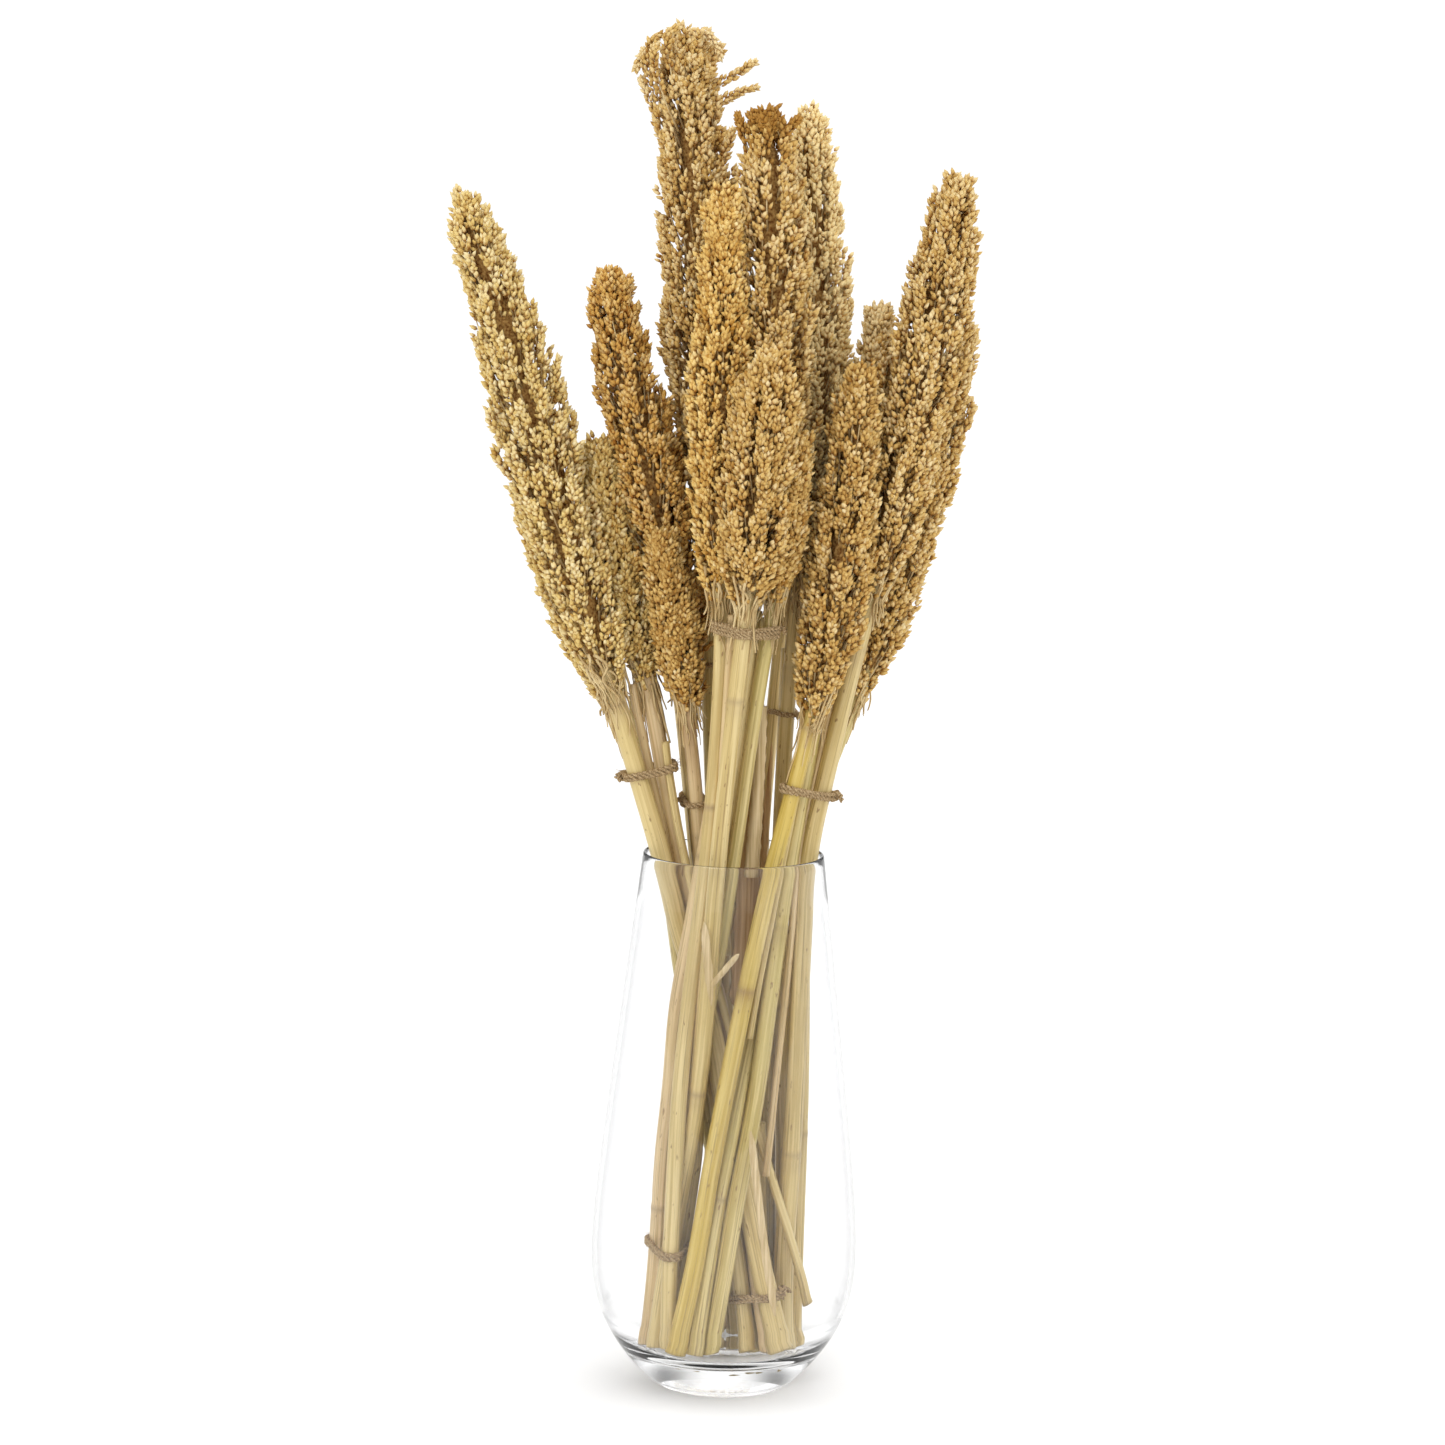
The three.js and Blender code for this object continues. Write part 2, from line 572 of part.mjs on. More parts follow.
// A tie lies round its bundle, square to the way the bundle leans: round each outer stalk it follows
// the stalk, and it runs straight from one outer stalk to the next.
function tieSolid(tie) {
  const tied = tiedBy(tie);
  const middle = [0, 1].map((axis) => (
    tied.reduce((sum, strand) => sum + centreAt(strand, tie.z)[axis], 0) / tied.length));
  const lean = [0, 1].map((axis) => (
    tied.reduce((sum, strand) => (
      sum + centreAt(strand, tie.z + TIE_LEAN_SPAN)[axis]
      - centreAt(strand, tie.z - TIE_LEAN_SPAN)[axis]), 0)
    / tied.length / (2 * TIE_LEAN_SPAN)));
  const planeZ = (x, y) => tie.z - lean[0] * (x - middle[0]) - lean[1] * (y - middle[1]);
  const sections = tied.map((strand) => {
    let place = centreAt(strand, tie.z);
    for (let round = 0; round < TIE_PLANE_ROUNDS; round += 1) {
      place = centreAt(strand, planeZ(...place));
    }
    return { place, radius: radiusAt(strand, planeZ(...place)) };
  });
  const half = TWINE_RADIUS * tie.turns;
  const reach = TWINE_RADIUS + GAP + half * 0.15;
  const rings = outerArcs(sections).map(({ section, angle }) => {
    const [nx, ny] = [Math.cos(angle), Math.sin(angle)];
    const x = section.place[0] + nx * (section.radius + reach);
    const y = section.place[1] + ny * (section.radius + reach);
    return Array.from({ length: TWINE_SIDES }, (_, side) => {
      const round = (side / TWINE_SIDES) * 2 * Math.PI;
      const out = Math.cos(round) * TWINE_RADIUS;
      return [x + nx * out, y + ny * out, planeZ(x, y) + Math.sin(round) * half];
    });
  });
  return closedLoop(rings);
}

function closedLoop(rings) {
  const sides = rings[0].length;
  const faces = [];
  rings.forEach((_, ring) => {
    const next = (ring + 1) % rings.length;
    for (let side = 0; side < sides; side += 1) {
      const turn = (side + 1) % sides;
      const [a, b] = [ring * sides + side, ring * sides + turn];
      const [c, d] = [next * sides + side, next * sides + turn];
      faces.push(a, d, b, a, c, d);
    }
  });
  return solid(rings.flat(2), faces);
}

// ---------------------------------------------------------------------------------------------------
// Assembly
// ---------------------------------------------------------------------------------------------------

const object = new THREE.Group();

function addPiece(name, geometry, finish) {
  const mesh = new THREE.Mesh(geometry, new THREE.MeshStandardMaterial(finish));
  mesh.name = name;
  object.add(mesh);
}

addPiece('glass_vase', glassVase(), GLASS);
strands.forEach((strand) => {
  if (strand.leaf) {
    addPiece(strand.leaf.name, leafSolid(strand), HUSK);
    return;
  }
  addPiece(`${strand.bundle}_stalk_${strand.number}`, stalkSolid(strand), STRAW);
  if (strand.head) addPiece(`${strand.bundle}_head_${strand.number}`, headSolid(strand), GRAIN);
});
ties.forEach((tie) => addPiece(tie.name, tieSolid(tie), TWINE));

export default object;
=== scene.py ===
# %% [markdown]
# # Bundles of dried sorghum in a glass vase
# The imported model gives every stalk, seed head, tie and leaf its place, as plain closed solids.
# This lesson keeps those places and grows the real surfaces round them: ribbed straw, heads made of
# thousands of grains on little branches, twisted twine, dry leaves and a blown glass vase.
# %% Load the frame
import json

import bpy
import numpy as np
from mathutils import Matrix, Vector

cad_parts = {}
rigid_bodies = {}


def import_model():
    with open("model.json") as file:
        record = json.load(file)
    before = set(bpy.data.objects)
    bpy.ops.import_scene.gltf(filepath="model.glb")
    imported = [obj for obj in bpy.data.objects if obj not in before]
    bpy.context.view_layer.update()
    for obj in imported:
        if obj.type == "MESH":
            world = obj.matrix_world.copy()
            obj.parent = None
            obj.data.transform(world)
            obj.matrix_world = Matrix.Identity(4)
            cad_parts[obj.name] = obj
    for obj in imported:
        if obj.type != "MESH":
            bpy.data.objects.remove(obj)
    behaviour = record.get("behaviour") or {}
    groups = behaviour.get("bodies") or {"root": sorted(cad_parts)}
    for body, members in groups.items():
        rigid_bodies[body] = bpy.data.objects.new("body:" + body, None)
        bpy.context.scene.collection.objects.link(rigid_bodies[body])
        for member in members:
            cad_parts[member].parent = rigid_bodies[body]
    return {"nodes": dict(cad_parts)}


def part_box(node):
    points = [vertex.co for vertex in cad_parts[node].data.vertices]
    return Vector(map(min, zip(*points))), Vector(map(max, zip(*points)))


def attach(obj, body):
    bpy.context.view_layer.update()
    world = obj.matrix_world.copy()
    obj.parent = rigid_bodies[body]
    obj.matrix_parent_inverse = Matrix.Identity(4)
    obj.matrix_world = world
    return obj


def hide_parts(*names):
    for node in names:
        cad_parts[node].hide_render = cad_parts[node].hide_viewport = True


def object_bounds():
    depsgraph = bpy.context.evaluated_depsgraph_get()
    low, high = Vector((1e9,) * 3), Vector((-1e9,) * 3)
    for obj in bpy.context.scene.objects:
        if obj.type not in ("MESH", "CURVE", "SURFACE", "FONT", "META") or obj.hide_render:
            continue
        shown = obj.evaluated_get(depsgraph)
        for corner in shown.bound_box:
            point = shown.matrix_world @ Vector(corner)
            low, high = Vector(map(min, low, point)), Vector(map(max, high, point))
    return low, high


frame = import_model()
CAD_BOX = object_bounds()
MM = 0.001
print("model box in metres:", CAD_BOX)

# %% [markdown]
# ## Camera
# The vase is seen from a little above its middle with a long lens, so that the stalks keep their
# true slant. A camera can be aimed with a constraint, but a placed and turned matrix says the same in
# one line: stand back, tip down, and roll a little.
# %% Camera
CAMERA_PLACE = (-7.97 * MM, -2400 * MM, 704 * MM)
CAMERA_TIP = np.radians(90 - 7.868)
CAMERA_ROLL = np.radians(1.42)
CAMERA_LENS = 109.67
SENSOR_WIDTH = 36

camera_data = bpy.data.cameras.new("camera")
camera_data.sensor_width = SENSOR_WIDTH
camera_data.lens = CAMERA_LENS
camera = bpy.data.objects.new("camera", camera_data)
bpy.context.scene.collection.objects.link(camera)
camera.matrix_world = (Matrix.Translation(CAMERA_PLACE) @ Matrix.Rotation(CAMERA_TIP, 4, "X")
                       @ Matrix.Rotation(CAMERA_ROLL, 4, "Z"))
bpy.context.scene.camera = camera
print("camera lens", camera_data.lens)

# %% [markdown]
# ## Mesh helpers
# Blender can extrude, spin and skin shapes by hand, but every shape here is a formula on a grid, so
# one helper turns an array of points and an array of faces into a finished piece. It also stores
# numbers per point, which the finishes read later.
# %% From arrays to a piece
def make_piece(name, points, faces, slot, finish, stands_for=(), smooth=True, **numbers):
    """A mesh object from points (n, 3) and a list of face arrays (m, 3) or (m, 4). Each extra array
    becomes a value per point: one column is a number, three columns are a vector."""
    mesh = bpy.data.meshes.new(name)
    corners = np.concatenate([part.ravel() for part in faces]).astype(np.int32)
    sizes = np.concatenate([np.full(len(part), part.shape[1]) for part in faces])
    mesh.vertices.add(len(points))
    mesh.vertices.foreach_set("co", np.ascontiguousarray(points, dtype=np.float32).ravel())
    mesh.loops.add(len(corners))
    mesh.loops.foreach_set("vertex_index", corners)
    mesh.polygons.add(len(sizes))
    mesh.polygons.foreach_set("loop_start", (np.cumsum(sizes) - sizes).astype(np.int32))
    mesh.update(calc_edges=True)
    mesh.polygons.foreach_set("use_smooth", np.full(len(sizes), smooth))
    for label, values in numbers.items():
        kind, key = ("FLOAT", "value") if values.ndim == 1 else ("FLOAT_VECTOR", "vector")
        mesh.attributes.new(label, kind, "POINT").data.foreach_set(
            key, np.ascontiguousarray(values, dtype=np.float32).ravel())
    mesh.materials.append(finish)
    piece = bpy.data.objects.new(name, mesh)
    bpy.context.scene.collection.objects.link(piece)
    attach(piece, "root")
    if stands_for:
        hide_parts(*stands_for)
    return piece


# %% Lengths and directions
def unit(vectors):
    """Each vector divided by its own length."""
    return vectors / np.maximum(np.linalg.norm(vectors, axis=-1, keepdims=True), 1e-12)


def side_vectors(direction, hint=(1.0, 0.0, 0.0)):
    """Two unit vectors square to each direction d and to each other: the hint with its share along d
    taken away, and d crossed with that."""
    hint = np.broadcast_to(np.asarray(hint, float), direction.shape)
    across = unit(hint - (hint * direction).sum(-1, keepdims=True) * direction)
    return across, np.cross(direction, across)


print("square to straight up:", [side.tolist() for side in side_vectors(np.array([0, 0, 1.0]))])


# %% Tubes along paths
def tubes(paths, radii, sides, hint=(1.0, 0.0, 0.0), loop=False):
    """Closed tubes round many paths at once. paths is (m, n, 3); radii is (m, n) or (m, n, sides).
    A point is p(i, j) = c_i + r_ij (cos a_j A_i + sin a_j B_i), with A and B square to the path. Open
    tubes end in a fan round one more point, and a loop joins its last ring to its first.
    Returns points, faces and the angle a_j with the share of the way along, for each point."""
    many, steps, _ = paths.shape
    if loop:
        direction = unit(np.roll(paths, -1, 1) - np.roll(paths, 1, 1))
    else:
        direction = unit(np.gradient(paths, axis=1))
    across, aside = side_vectors(direction, hint)
    angle = np.linspace(0, 2 * np.pi, sides, endpoint=False)
    radii = radii[..., None] if radii.ndim == 2 else radii
    ring = np.cos(angle)[:, None] * across[:, :, None] + np.sin(angle)[:, None] * aside[:, :, None]
    points = paths[:, :, None] + ring * radii[..., None]
    rows = np.arange(steps if loop else steps - 1)
    first = (rows[:, None] * sides + np.arange(sides)).ravel()
    second = (rows[:, None] * sides + (np.arange(sides) + 1) % sides).ravel()
    above = steps * sides
    quads = np.stack([first, second, (second + sides) % above, (first + sides) % above], 1)
    base = np.arange(many)[:, None, None] * (above + (0 if loop else 2))
    faces = [(quads + base).reshape(-1, 4)]
    share = np.repeat(np.linspace(0, 1, steps), sides)
    turn = np.tile(angle, steps)
    flat = points.reshape(many, -1, 3)
    if not loop:
        flat = np.concatenate([flat, paths[:, :1], paths[:, -1:]], 1)
        edge = np.arange(sides)
        low = np.stack([np.full(sides, above), (edge + 1) % sides, edge], 1)
        top = above - sides
        high = np.stack([np.full(sides, above + 1), top + edge, top + (edge + 1) % sides], 1)
        faces += [(np.concatenate([low, high]) + base).reshape(-1, 3)]
        share = np.append(share, [0, 1])
        turn = np.append(turn, [0, 0])
    return flat.reshape(-1, 3), faces, np.tile(turn, many), np.tile(share, many)


rod = tubes(np.linspace((0, 0, 0), (0, 0, 1), 5)[None], np.ones((1, 5)), 6)
print("a six-sided rod of five rings has", len(rod[0]), "points")


# %% Meshes put together
def one_mesh(parts):
    """Several (points, faces) put end to end, with the faces counted on."""
    points, faces, count = [], [], 0
    for some_points, some_faces in parts:
        faces += [face + count for face in some_faces]
        points.append(some_points)
        count += len(some_points)
    return np.concatenate(points), faces


# %% Smooth curves through a few points
def curve_through(knots, steps):
    """A Catmull-Rom curve through the knots (k, 3): on each span, half of (2 b + (c - a) t
    + (2 a - 5 b + 4 c - d) t^2 + (3 b - a - 3 c + d) t^3)."""
    knots = np.asarray(knots, float)
    padded = np.concatenate([2 * knots[:1] - knots[1:2], knots, 2 * knots[-1:] - knots[-2:-1]])
    place = np.linspace(0, len(knots) - 1, steps)
    span = np.minimum(place.astype(int), len(knots) - 2)
    t = (place - span)[:, None]
    a, b, c, d = (padded[span + shift] for shift in range(4))
    return 0.5 * (2 * b + (c - a) * t + (2 * a - 5 * b + 4 * c - d) * t**2
                  + (3 * b - a - 3 * c + d) * t**3)


print("a curve round a corner:", curve_through([(0, 0, 0), (1, 0, 0), (1, 1, 0)], 5).tolist())


# %% Reading the model's level rings
def rings_of(node):
    """Heights, centres and radii of a model piece whose rings are all level: points of one height
    belong to one ring, its centre is their mean, and its radius the farthest one's distance."""
    mesh = frame["nodes"][node].data
    points = np.empty(len(mesh.vertices) * 3)
    mesh.vertices.foreach_get("co", points)
    points = np.unique(np.round(points.reshape(-1, 3), 6), axis=0)
    heights, ring = np.unique(np.round(points[:, 2], 5), return_inverse=True)
    ring = ring.ravel()
    count = np.bincount(ring)
    centre = np.stack([np.bincount(ring, points[:, axis]) / count for axis in range(2)], 1)
    reach = np.linalg.norm(points[:, :2] - centre[ring], axis=1)
    radius = np.zeros(len(heights))
    np.maximum.at(radius, ring, reach)
    return heights, centre, radius


# %% A smooth line through the rings
SMOOTHING_PLACES = 7
SMOOTHING_REACH = 22


def line_at(rings, heights):
    """Centres (x, y, z) and radii at heights that rise. The sideways run of the centres is the mean of
    several places nearby, moved back by the slope, which rounds the corners of the straight runs."""
    known, centre, radius = rings
    spread = np.linspace(-1, 1, SMOOTHING_PLACES)[:, None] * SMOOTHING_REACH * MM
    near = np.clip(heights + spread, known[0], known[-1])
    lift = heights - near.mean(0)
    sides = [np.interp(near, known, centre[:, axis]).mean(0) for axis in range(2)]
    slope = [np.gradient(side, heights) for side in sides]
    sides = [side + tilt * lift for side, tilt in zip(sides, slope)]
    return np.stack([*sides, heights], 1), np.interp(heights, known, radius)


def line_at_each(rings, heights):
    """The same for an array of heights in any order and shape: sort them, read the line, and put the
    results back in their places."""
    flat = heights.ravel()
    centre, radius = line_at(rings[:3], np.clip(np.sort(flat), rings[0][0], rings[0][-1]))
    order = np.argsort(np.argsort(flat))
    return centre[order].reshape(*heights.shape, 3), radius[order].reshape(heights.shape)


def neck_rings(head):
    """The rings of a head with those of its stalk below them, and which of them are the head's."""
    rings = rings_of(head)
    below = rings_of(head.replace("_head_", "_stalk_"))
    keep = below[0] < rings[0][0] - 2 * MM
    joined = [np.concatenate([under[keep], over]) for under, over in zip(below, rings)]
    return *joined, np.arange(len(joined[0])) >= keep.sum()


NODES = list(frame["nodes"])
print(len(NODES), "model pieces;", len(rings_of("front_stalk_1")[0]), "rings on the first front stalk")

# %% [markdown]
# ## Finishes
# Each finish is a small tree of nodes. Straw takes its streaks from a vector stored on its points, the
# place on the unrolled stalk, so the streaks follow a leaning stalk. Grains take their colour from a
# number per grain that holds ripeness and painted depth shade, and each grain darkens towards its
# foot, partly the husk's darker base and partly painted shade; this painted shade is what makes a head
# look deep.
# %% Node helpers
def new_finish(name, roughness, specular=0.4):
    """A material with one Principled shader, and a function that adds a node and sets its inputs."""
    material = bpy.data.materials.new(name)
    material.use_nodes = True
    tree = material.node_tree
    shader = tree.nodes["Principled BSDF"]
    shader.inputs["Roughness"].default_value = roughness
    shader.inputs["Specular IOR Level"].default_value = specular

    def add(kind, settings=None, **inputs):
        node = tree.nodes.new(kind)
        for key, value in (settings or {}).items():
            setattr(node, key, value)
        for key, value in inputs.items():
            socket = node.inputs[int(key[1:])] if key[0] == "i" and key[1:].isdigit() else (
                node.inputs[key.replace("_", " ")])
            if isinstance(value, bpy.types.NodeSocket):
                tree.links.new(value, socket)
            else:
                socket.default_value = value
        return node

    return material, shader, tree, add


def value_of(add, label):
    """The number or vector that the points carry under this label."""
    return add("ShaderNodeAttribute", {"attribute_name": label})


def ramp(add, factor, *stops):
    """A colour ramp from (place, colour) stops."""
    node = add("ShaderNodeValToRGB", i0=factor)
    elements = node.color_ramp.elements
    for index, (place, colour) in enumerate(stops):
        element = elements[index] if index < 2 else elements.new(place)
        element.position = place
        element.color = (*colour, 1)
    return node.outputs["Color"]


def noise(add, vector, scale, detail=3, stretch=(1, 1, 1)):
    """Noise read from a vector that is first scaled by stretch."""
    moved = add("ShaderNodeMapping", i0=vector, i3=stretch)
    texture = add("ShaderNodeTexNoise", Vector=moved.outputs[0], Scale=scale, Detail=detail)
    return texture.outputs["Fac"]


def mix(add, factor, first, second, how="MIX"):
    """Two colours mixed by a factor."""
    node = add("ShaderNodeMix", {"data_type": "RGBA", "blend_type": how}, i0=factor)
    tree = node.id_data
    for socket, value in ((node.inputs[6], first), (node.inputs[7], second)):
        if isinstance(value, bpy.types.NodeSocket):
            tree.links.new(value, socket)
        else:
            socket.default_value = (*value, 1)
    return node.outputs[2]


def maths(add, how, first, second):
    """One sum on two numbers."""
    return add("ShaderNodeMath", {"operation": how}, i0=first, i1=second).outputs[0]


def mask(add, factor, low, high, strength=1.0):
    """Grey that is 0 where the factor is under low and the strength where it is over high."""
    return ramp(add, factor, (low, (0, 0, 0)), (high, (strength,) * 3))


# %% Straw
LINE_BROWN = (0.27, 0.17, 0.06)
FRECKLE_BROWN = (0.25, 0.13, 0.045)
STAIN_BROWN = (0.23, 0.085, 0.022)
JOINT_BROWN = (0.33, 0.22, 0.12)


def straw_finish(name, pale, deep, blush):
    """Dry stalk: fine streaks between pale and deep, thin dark lines, broad patches of blush, freckles,
    brown stains, a dusky ring at each joint, and a bump along the fibres."""
    material, shader, tree, add = new_finish(name, 0.42, 0.45)
    along = value_of(add, "along").outputs["Vector"]
    fine = noise(add, along, 900, 4, (1, 1, 0.016))
    broad = noise(add, along, 260, 3, (1, 1, 0.035))
    patch = noise(add, along, 22, 3, (1, 1, 0.6))
    colour = ramp(add, maths(add, "ADD", maths(add, "MULTIPLY", fine, 0.5),
                             maths(add, "MULTIPLY", broad, 0.5)),
                  (0.42, deep), (0.55, pale))
    line = mask(add, noise(add, along, 1150, 2, (1, 1, 0.01)), 0.60, 0.65, 0.62)
    colour = mix(add, line, colour, LINE_BROWN)
    colour = mix(add, mask(add, patch, 0.45, 0.68, 0.6), colour, blush)
    freckle = mask(add, noise(add, along, 520, 2, (1, 1, 0.3)), 0.68, 0.73, 0.75)
    colour = mix(add, freckle, colour, FRECKLE_BROWN)
    stain = maths(add, "MULTIPLY", value_of(add, "stain").outputs["Fac"],
                  maths(add, "ADD", maths(add, "MULTIPLY", broad, 0.9), 0.35))
    colour = mix(add, stain, colour, STAIN_BROWN)
    colour = mix(add, value_of(add, "joint").outputs["Fac"], colour, JOINT_BROWN)
    tree.links.new(colour, shader.inputs["Base Color"])
    bump = add("ShaderNodeBump", Strength=0.7, Distance=0.0008,
               Height=maths(add, "ADD", broad, maths(add, "MULTIPLY", fine, 0.5)))
    tree.links.new(bump.outputs[0], shader.inputs["Normal"])
    return material


# %% Grain and fibres
# Darker foot of each grain: the husk's own darker base, deepened as painted shade where grains crowd
# together.
HUSK_FOOT_AND_PAINTED_SHADE = (0.50, 0.28, 0.10)


def grain_finish(name, husk, ripe, pale):
    """Grain: ripeness, with painted depth shade mixed in, runs from husk through ripe to pale, and each
    grain is darker at its foot, partly the husk's own darker base and partly painted shade where the
    grains crowd.
    """
    material, shader, tree, add = new_finish(name, 0.6, 0.14)
    where = add("ShaderNodeTexCoord").outputs["Object"]
    mottle = noise(add, where, 700, 2)
    # The per-grain number holds ripeness and painted depth shade.
    ripeness = maths(add, "ADD", value_of(add, "ripeness").outputs["Fac"],
                     maths(add, "MULTIPLY", maths(add, "SUBTRACT", mottle, 0.5), 0.5))
    colour = ramp(add, ripeness, (0.05, husk), (0.5, ripe), (0.9, pale))
    # Painted shade, partly the husk's darker base: each grain is multiplied darker towards its foot.
    foot = ramp(add, value_of(add, "along_grain").outputs["Fac"], (0.1, HUSK_FOOT_AND_PAINTED_SHADE), (0.5, (1, 1, 1)))
    colour = mix(add, 1.0, colour, foot, "MULTIPLY")
    tree.links.new(colour, shader.inputs["Base Color"])
    bump = add("ShaderNodeBump", Strength=0.35, Distance=0.0004, Height=noise(add, where, 1500, 2))
    tree.links.new(bump.outputs[0], shader.inputs["Normal"])
    return material


def fibre_finish(name, dark, light, scale, stretch=(1, 1, 1), roughness=0.85):
    """Anything fibrous: noise between a dark and a light colour, with a matching bump."""
    material, shader, tree, add = new_finish(name, roughness, 0.15)
    where = add("ShaderNodeTexCoord").outputs["Object"]
    fibres = noise(add, where, scale, 3, stretch)
    tree.links.new(ramp(add, fibres, (0.35, dark), (0.68, light)), shader.inputs["Base Color"])
    bump = add("ShaderNodeBump", Strength=0.6, Distance=0.0005, Height=fibres)
    tree.links.new(bump.outputs[0], shader.inputs["Normal"])
    return material


# %% The finishes by name
STRAW = {
    "straw": straw_finish("straw", (0.73, 0.58, 0.28), (0.53, 0.39, 0.15), (0.60, 0.45, 0.17)),
    "green straw": straw_finish("green straw", (0.70, 0.57, 0.26), (0.50, 0.38, 0.13),
                                (0.56, 0.46, 0.15)),
    "yellow straw": straw_finish("yellow straw", (0.68, 0.52, 0.18), (0.52, 0.36, 0.08),
                                 (0.58, 0.41, 0.06)),
    "pink straw": straw_finish("pink straw", (0.76, 0.58, 0.33), (0.58, 0.41, 0.19),
                               (0.64, 0.48, 0.22)),
}
GRAIN = {
    "straw": grain_finish("straw grain", (0.50, 0.28, 0.06), (0.76, 0.56, 0.20), (0.88, 0.74, 0.42)),
    "amber": grain_finish("amber grain", (0.44, 0.19, 0.03), (0.69, 0.42, 0.11), (0.83, 0.62, 0.29)),
    "tan": grain_finish("tan grain", (0.42, 0.21, 0.04), (0.69, 0.46, 0.15), (0.84, 0.67, 0.36)),
    "gold": grain_finish("gold grain", (0.52, 0.26, 0.04), (0.82, 0.57, 0.19), (0.92, 0.74, 0.38)),
}
# Inner chaff and painted shade: the core's very dark brown stands in for the shade deep inside a head.
CHAFF_AND_PAINTED_SHADE = fibre_finish("inner chaff", (0.15, 0.055, 0.008), (0.52, 0.31, 0.10), 620)
BRANCH = fibre_finish("branchlet", (0.46, 0.31, 0.13), (0.74, 0.58, 0.31), 300, (1, 1, 0.2), 0.6)
JUTE = fibre_finish("jute twine", (0.22, 0.13, 0.05), (0.60, 0.45, 0.26), 1400)
DRY_LEAF = fibre_finish("dry leaf", (0.36, 0.20, 0.075), (0.62, 0.42, 0.21), 700, (1, 1, 0.03), 0.7)
SHEATH = fibre_finish("pale sheath", (0.50, 0.36, 0.17), (0.76, 0.61, 0.37), 600, (1, 1, 0.04), 0.6)
print(len(bpy.data.materials), "materials")

# %% [markdown]
# ## Clear glass
# A blown vase is one clear shell. Glass bends light and casts a bright shadow, which a path tracer
# finds only slowly, so its shadow rays are let straight through.
# %% Glass finish
VASE_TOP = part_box("glass_vase")[1][2]
GLASS_BEND = 1.4
# Painted edge shade: greys mixed into the glass colour where it is seen edge on.
PAINTED_EDGE_SHADE = (0.66, 0.66, 0.67)
PAINTED_EDGE_SHADE_DEEP = (0.5, 0.5, 0.51)


def glass_finish():
    """Smooth glass with painted grey shade where it is seen edge on, below its lip, which stands in
    for the dark lines that bent light draws along the edges. Shadow rays go straight through it."""
    material, shader, tree, add = new_finish("clear glass", 0.0, 0.2)
    shader.inputs["Transmission Weight"].default_value = 1.0
    shader.inputs["IOR"].default_value = GLASS_BEND
    where = add("ShaderNodeTexCoord").outputs["Object"]
    waves = noise(add, where, 9, 1)
    tint = ramp(add, waves, (0.3, (0.985, 0.99, 0.992)), (0.7, (1, 1, 1)))
    # Painted shade: grey where the glass is seen edge on, left out near the lip.
    grazing = add("ShaderNodeLayerWeight", Blend=0.5).outputs["Facing"]
    edge = ramp(add, grazing, (0.5, (1, 1, 1)), (0.8, PAINTED_EDGE_SHADE), (0.97, PAINTED_EDGE_SHADE_DEEP))
    height = add("ShaderNodeSeparateXYZ", Vector=where).outputs["Z"]
    lip = mask(add, maths(add, "DIVIDE", height, VASE_TOP), 0.89, 0.95)
    tint = mix(add, 1.0, tint, mix(add, lip, edge, (1, 1, 1)), "MULTIPLY")
    tree.links.new(tint, shader.inputs["Base Color"])
    through = add("ShaderNodeBsdfTransparent")
    ray = add("ShaderNodeLightPath")
    both = add("ShaderNodeMixShader", i0=ray.outputs["Is Shadow Ray"], i1=shader.outputs[0],
               i2=through.outputs[0])
    tree.links.new(both.outputs[0], tree.nodes["Material Output"].inputs["Surface"])
    return material


GLASS = glass_finish()
print("glass is", round(VASE_TOP, 4), "m tall")

# %% [markdown]
# ## The vase
# A vase like this is blown into a turned mould, so it is one outline spun round an axis: a narrow
# foot, a belly low down, and a long neck that runs nearly straight to the rim. The inside follows the
# outside at the wall's thickness down to a thick, heavy base.
# %% Outline of the glass
VASE_HEIGHT = VASE_TOP / MM
BELLY_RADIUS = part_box("glass_vase")[1][1] / MM
FOOT_RADIUS = 38
BELLY_HEIGHT = 76
RIM_RADIUS = 50
WALL = 3
RIM_ROUNDING = 1.2
INSIDE_FLOOR = 21
FLOOR_RADIUS = 46
FLOOR_FILLET = 20
NECK_EASE = 0.12
LIP_THINNING = 1.3
LIP_LENGTH = 25


def outside_radius(z):
    """Below the belly the radius falls by a share (1 - z / belly)^2.4 of the difference to the foot.
    Above it, it falls along a hyperbola that soon runs straight to the rim."""
    low = BELLY_RADIUS - (BELLY_RADIUS - FOOT_RADIUS) * np.clip(1 - z / BELLY_HEIGHT, 0, 1) ** 2.4
    climb = np.clip((z - BELLY_HEIGHT) / (VASE_HEIGHT - BELLY_HEIGHT), 0, 1)
    fall = (np.hypot(climb, NECK_EASE) - NECK_EASE) / (np.hypot(1, NECK_EASE) - NECK_EASE)
    return low - (BELLY_RADIUS - RIM_RADIUS) * fall


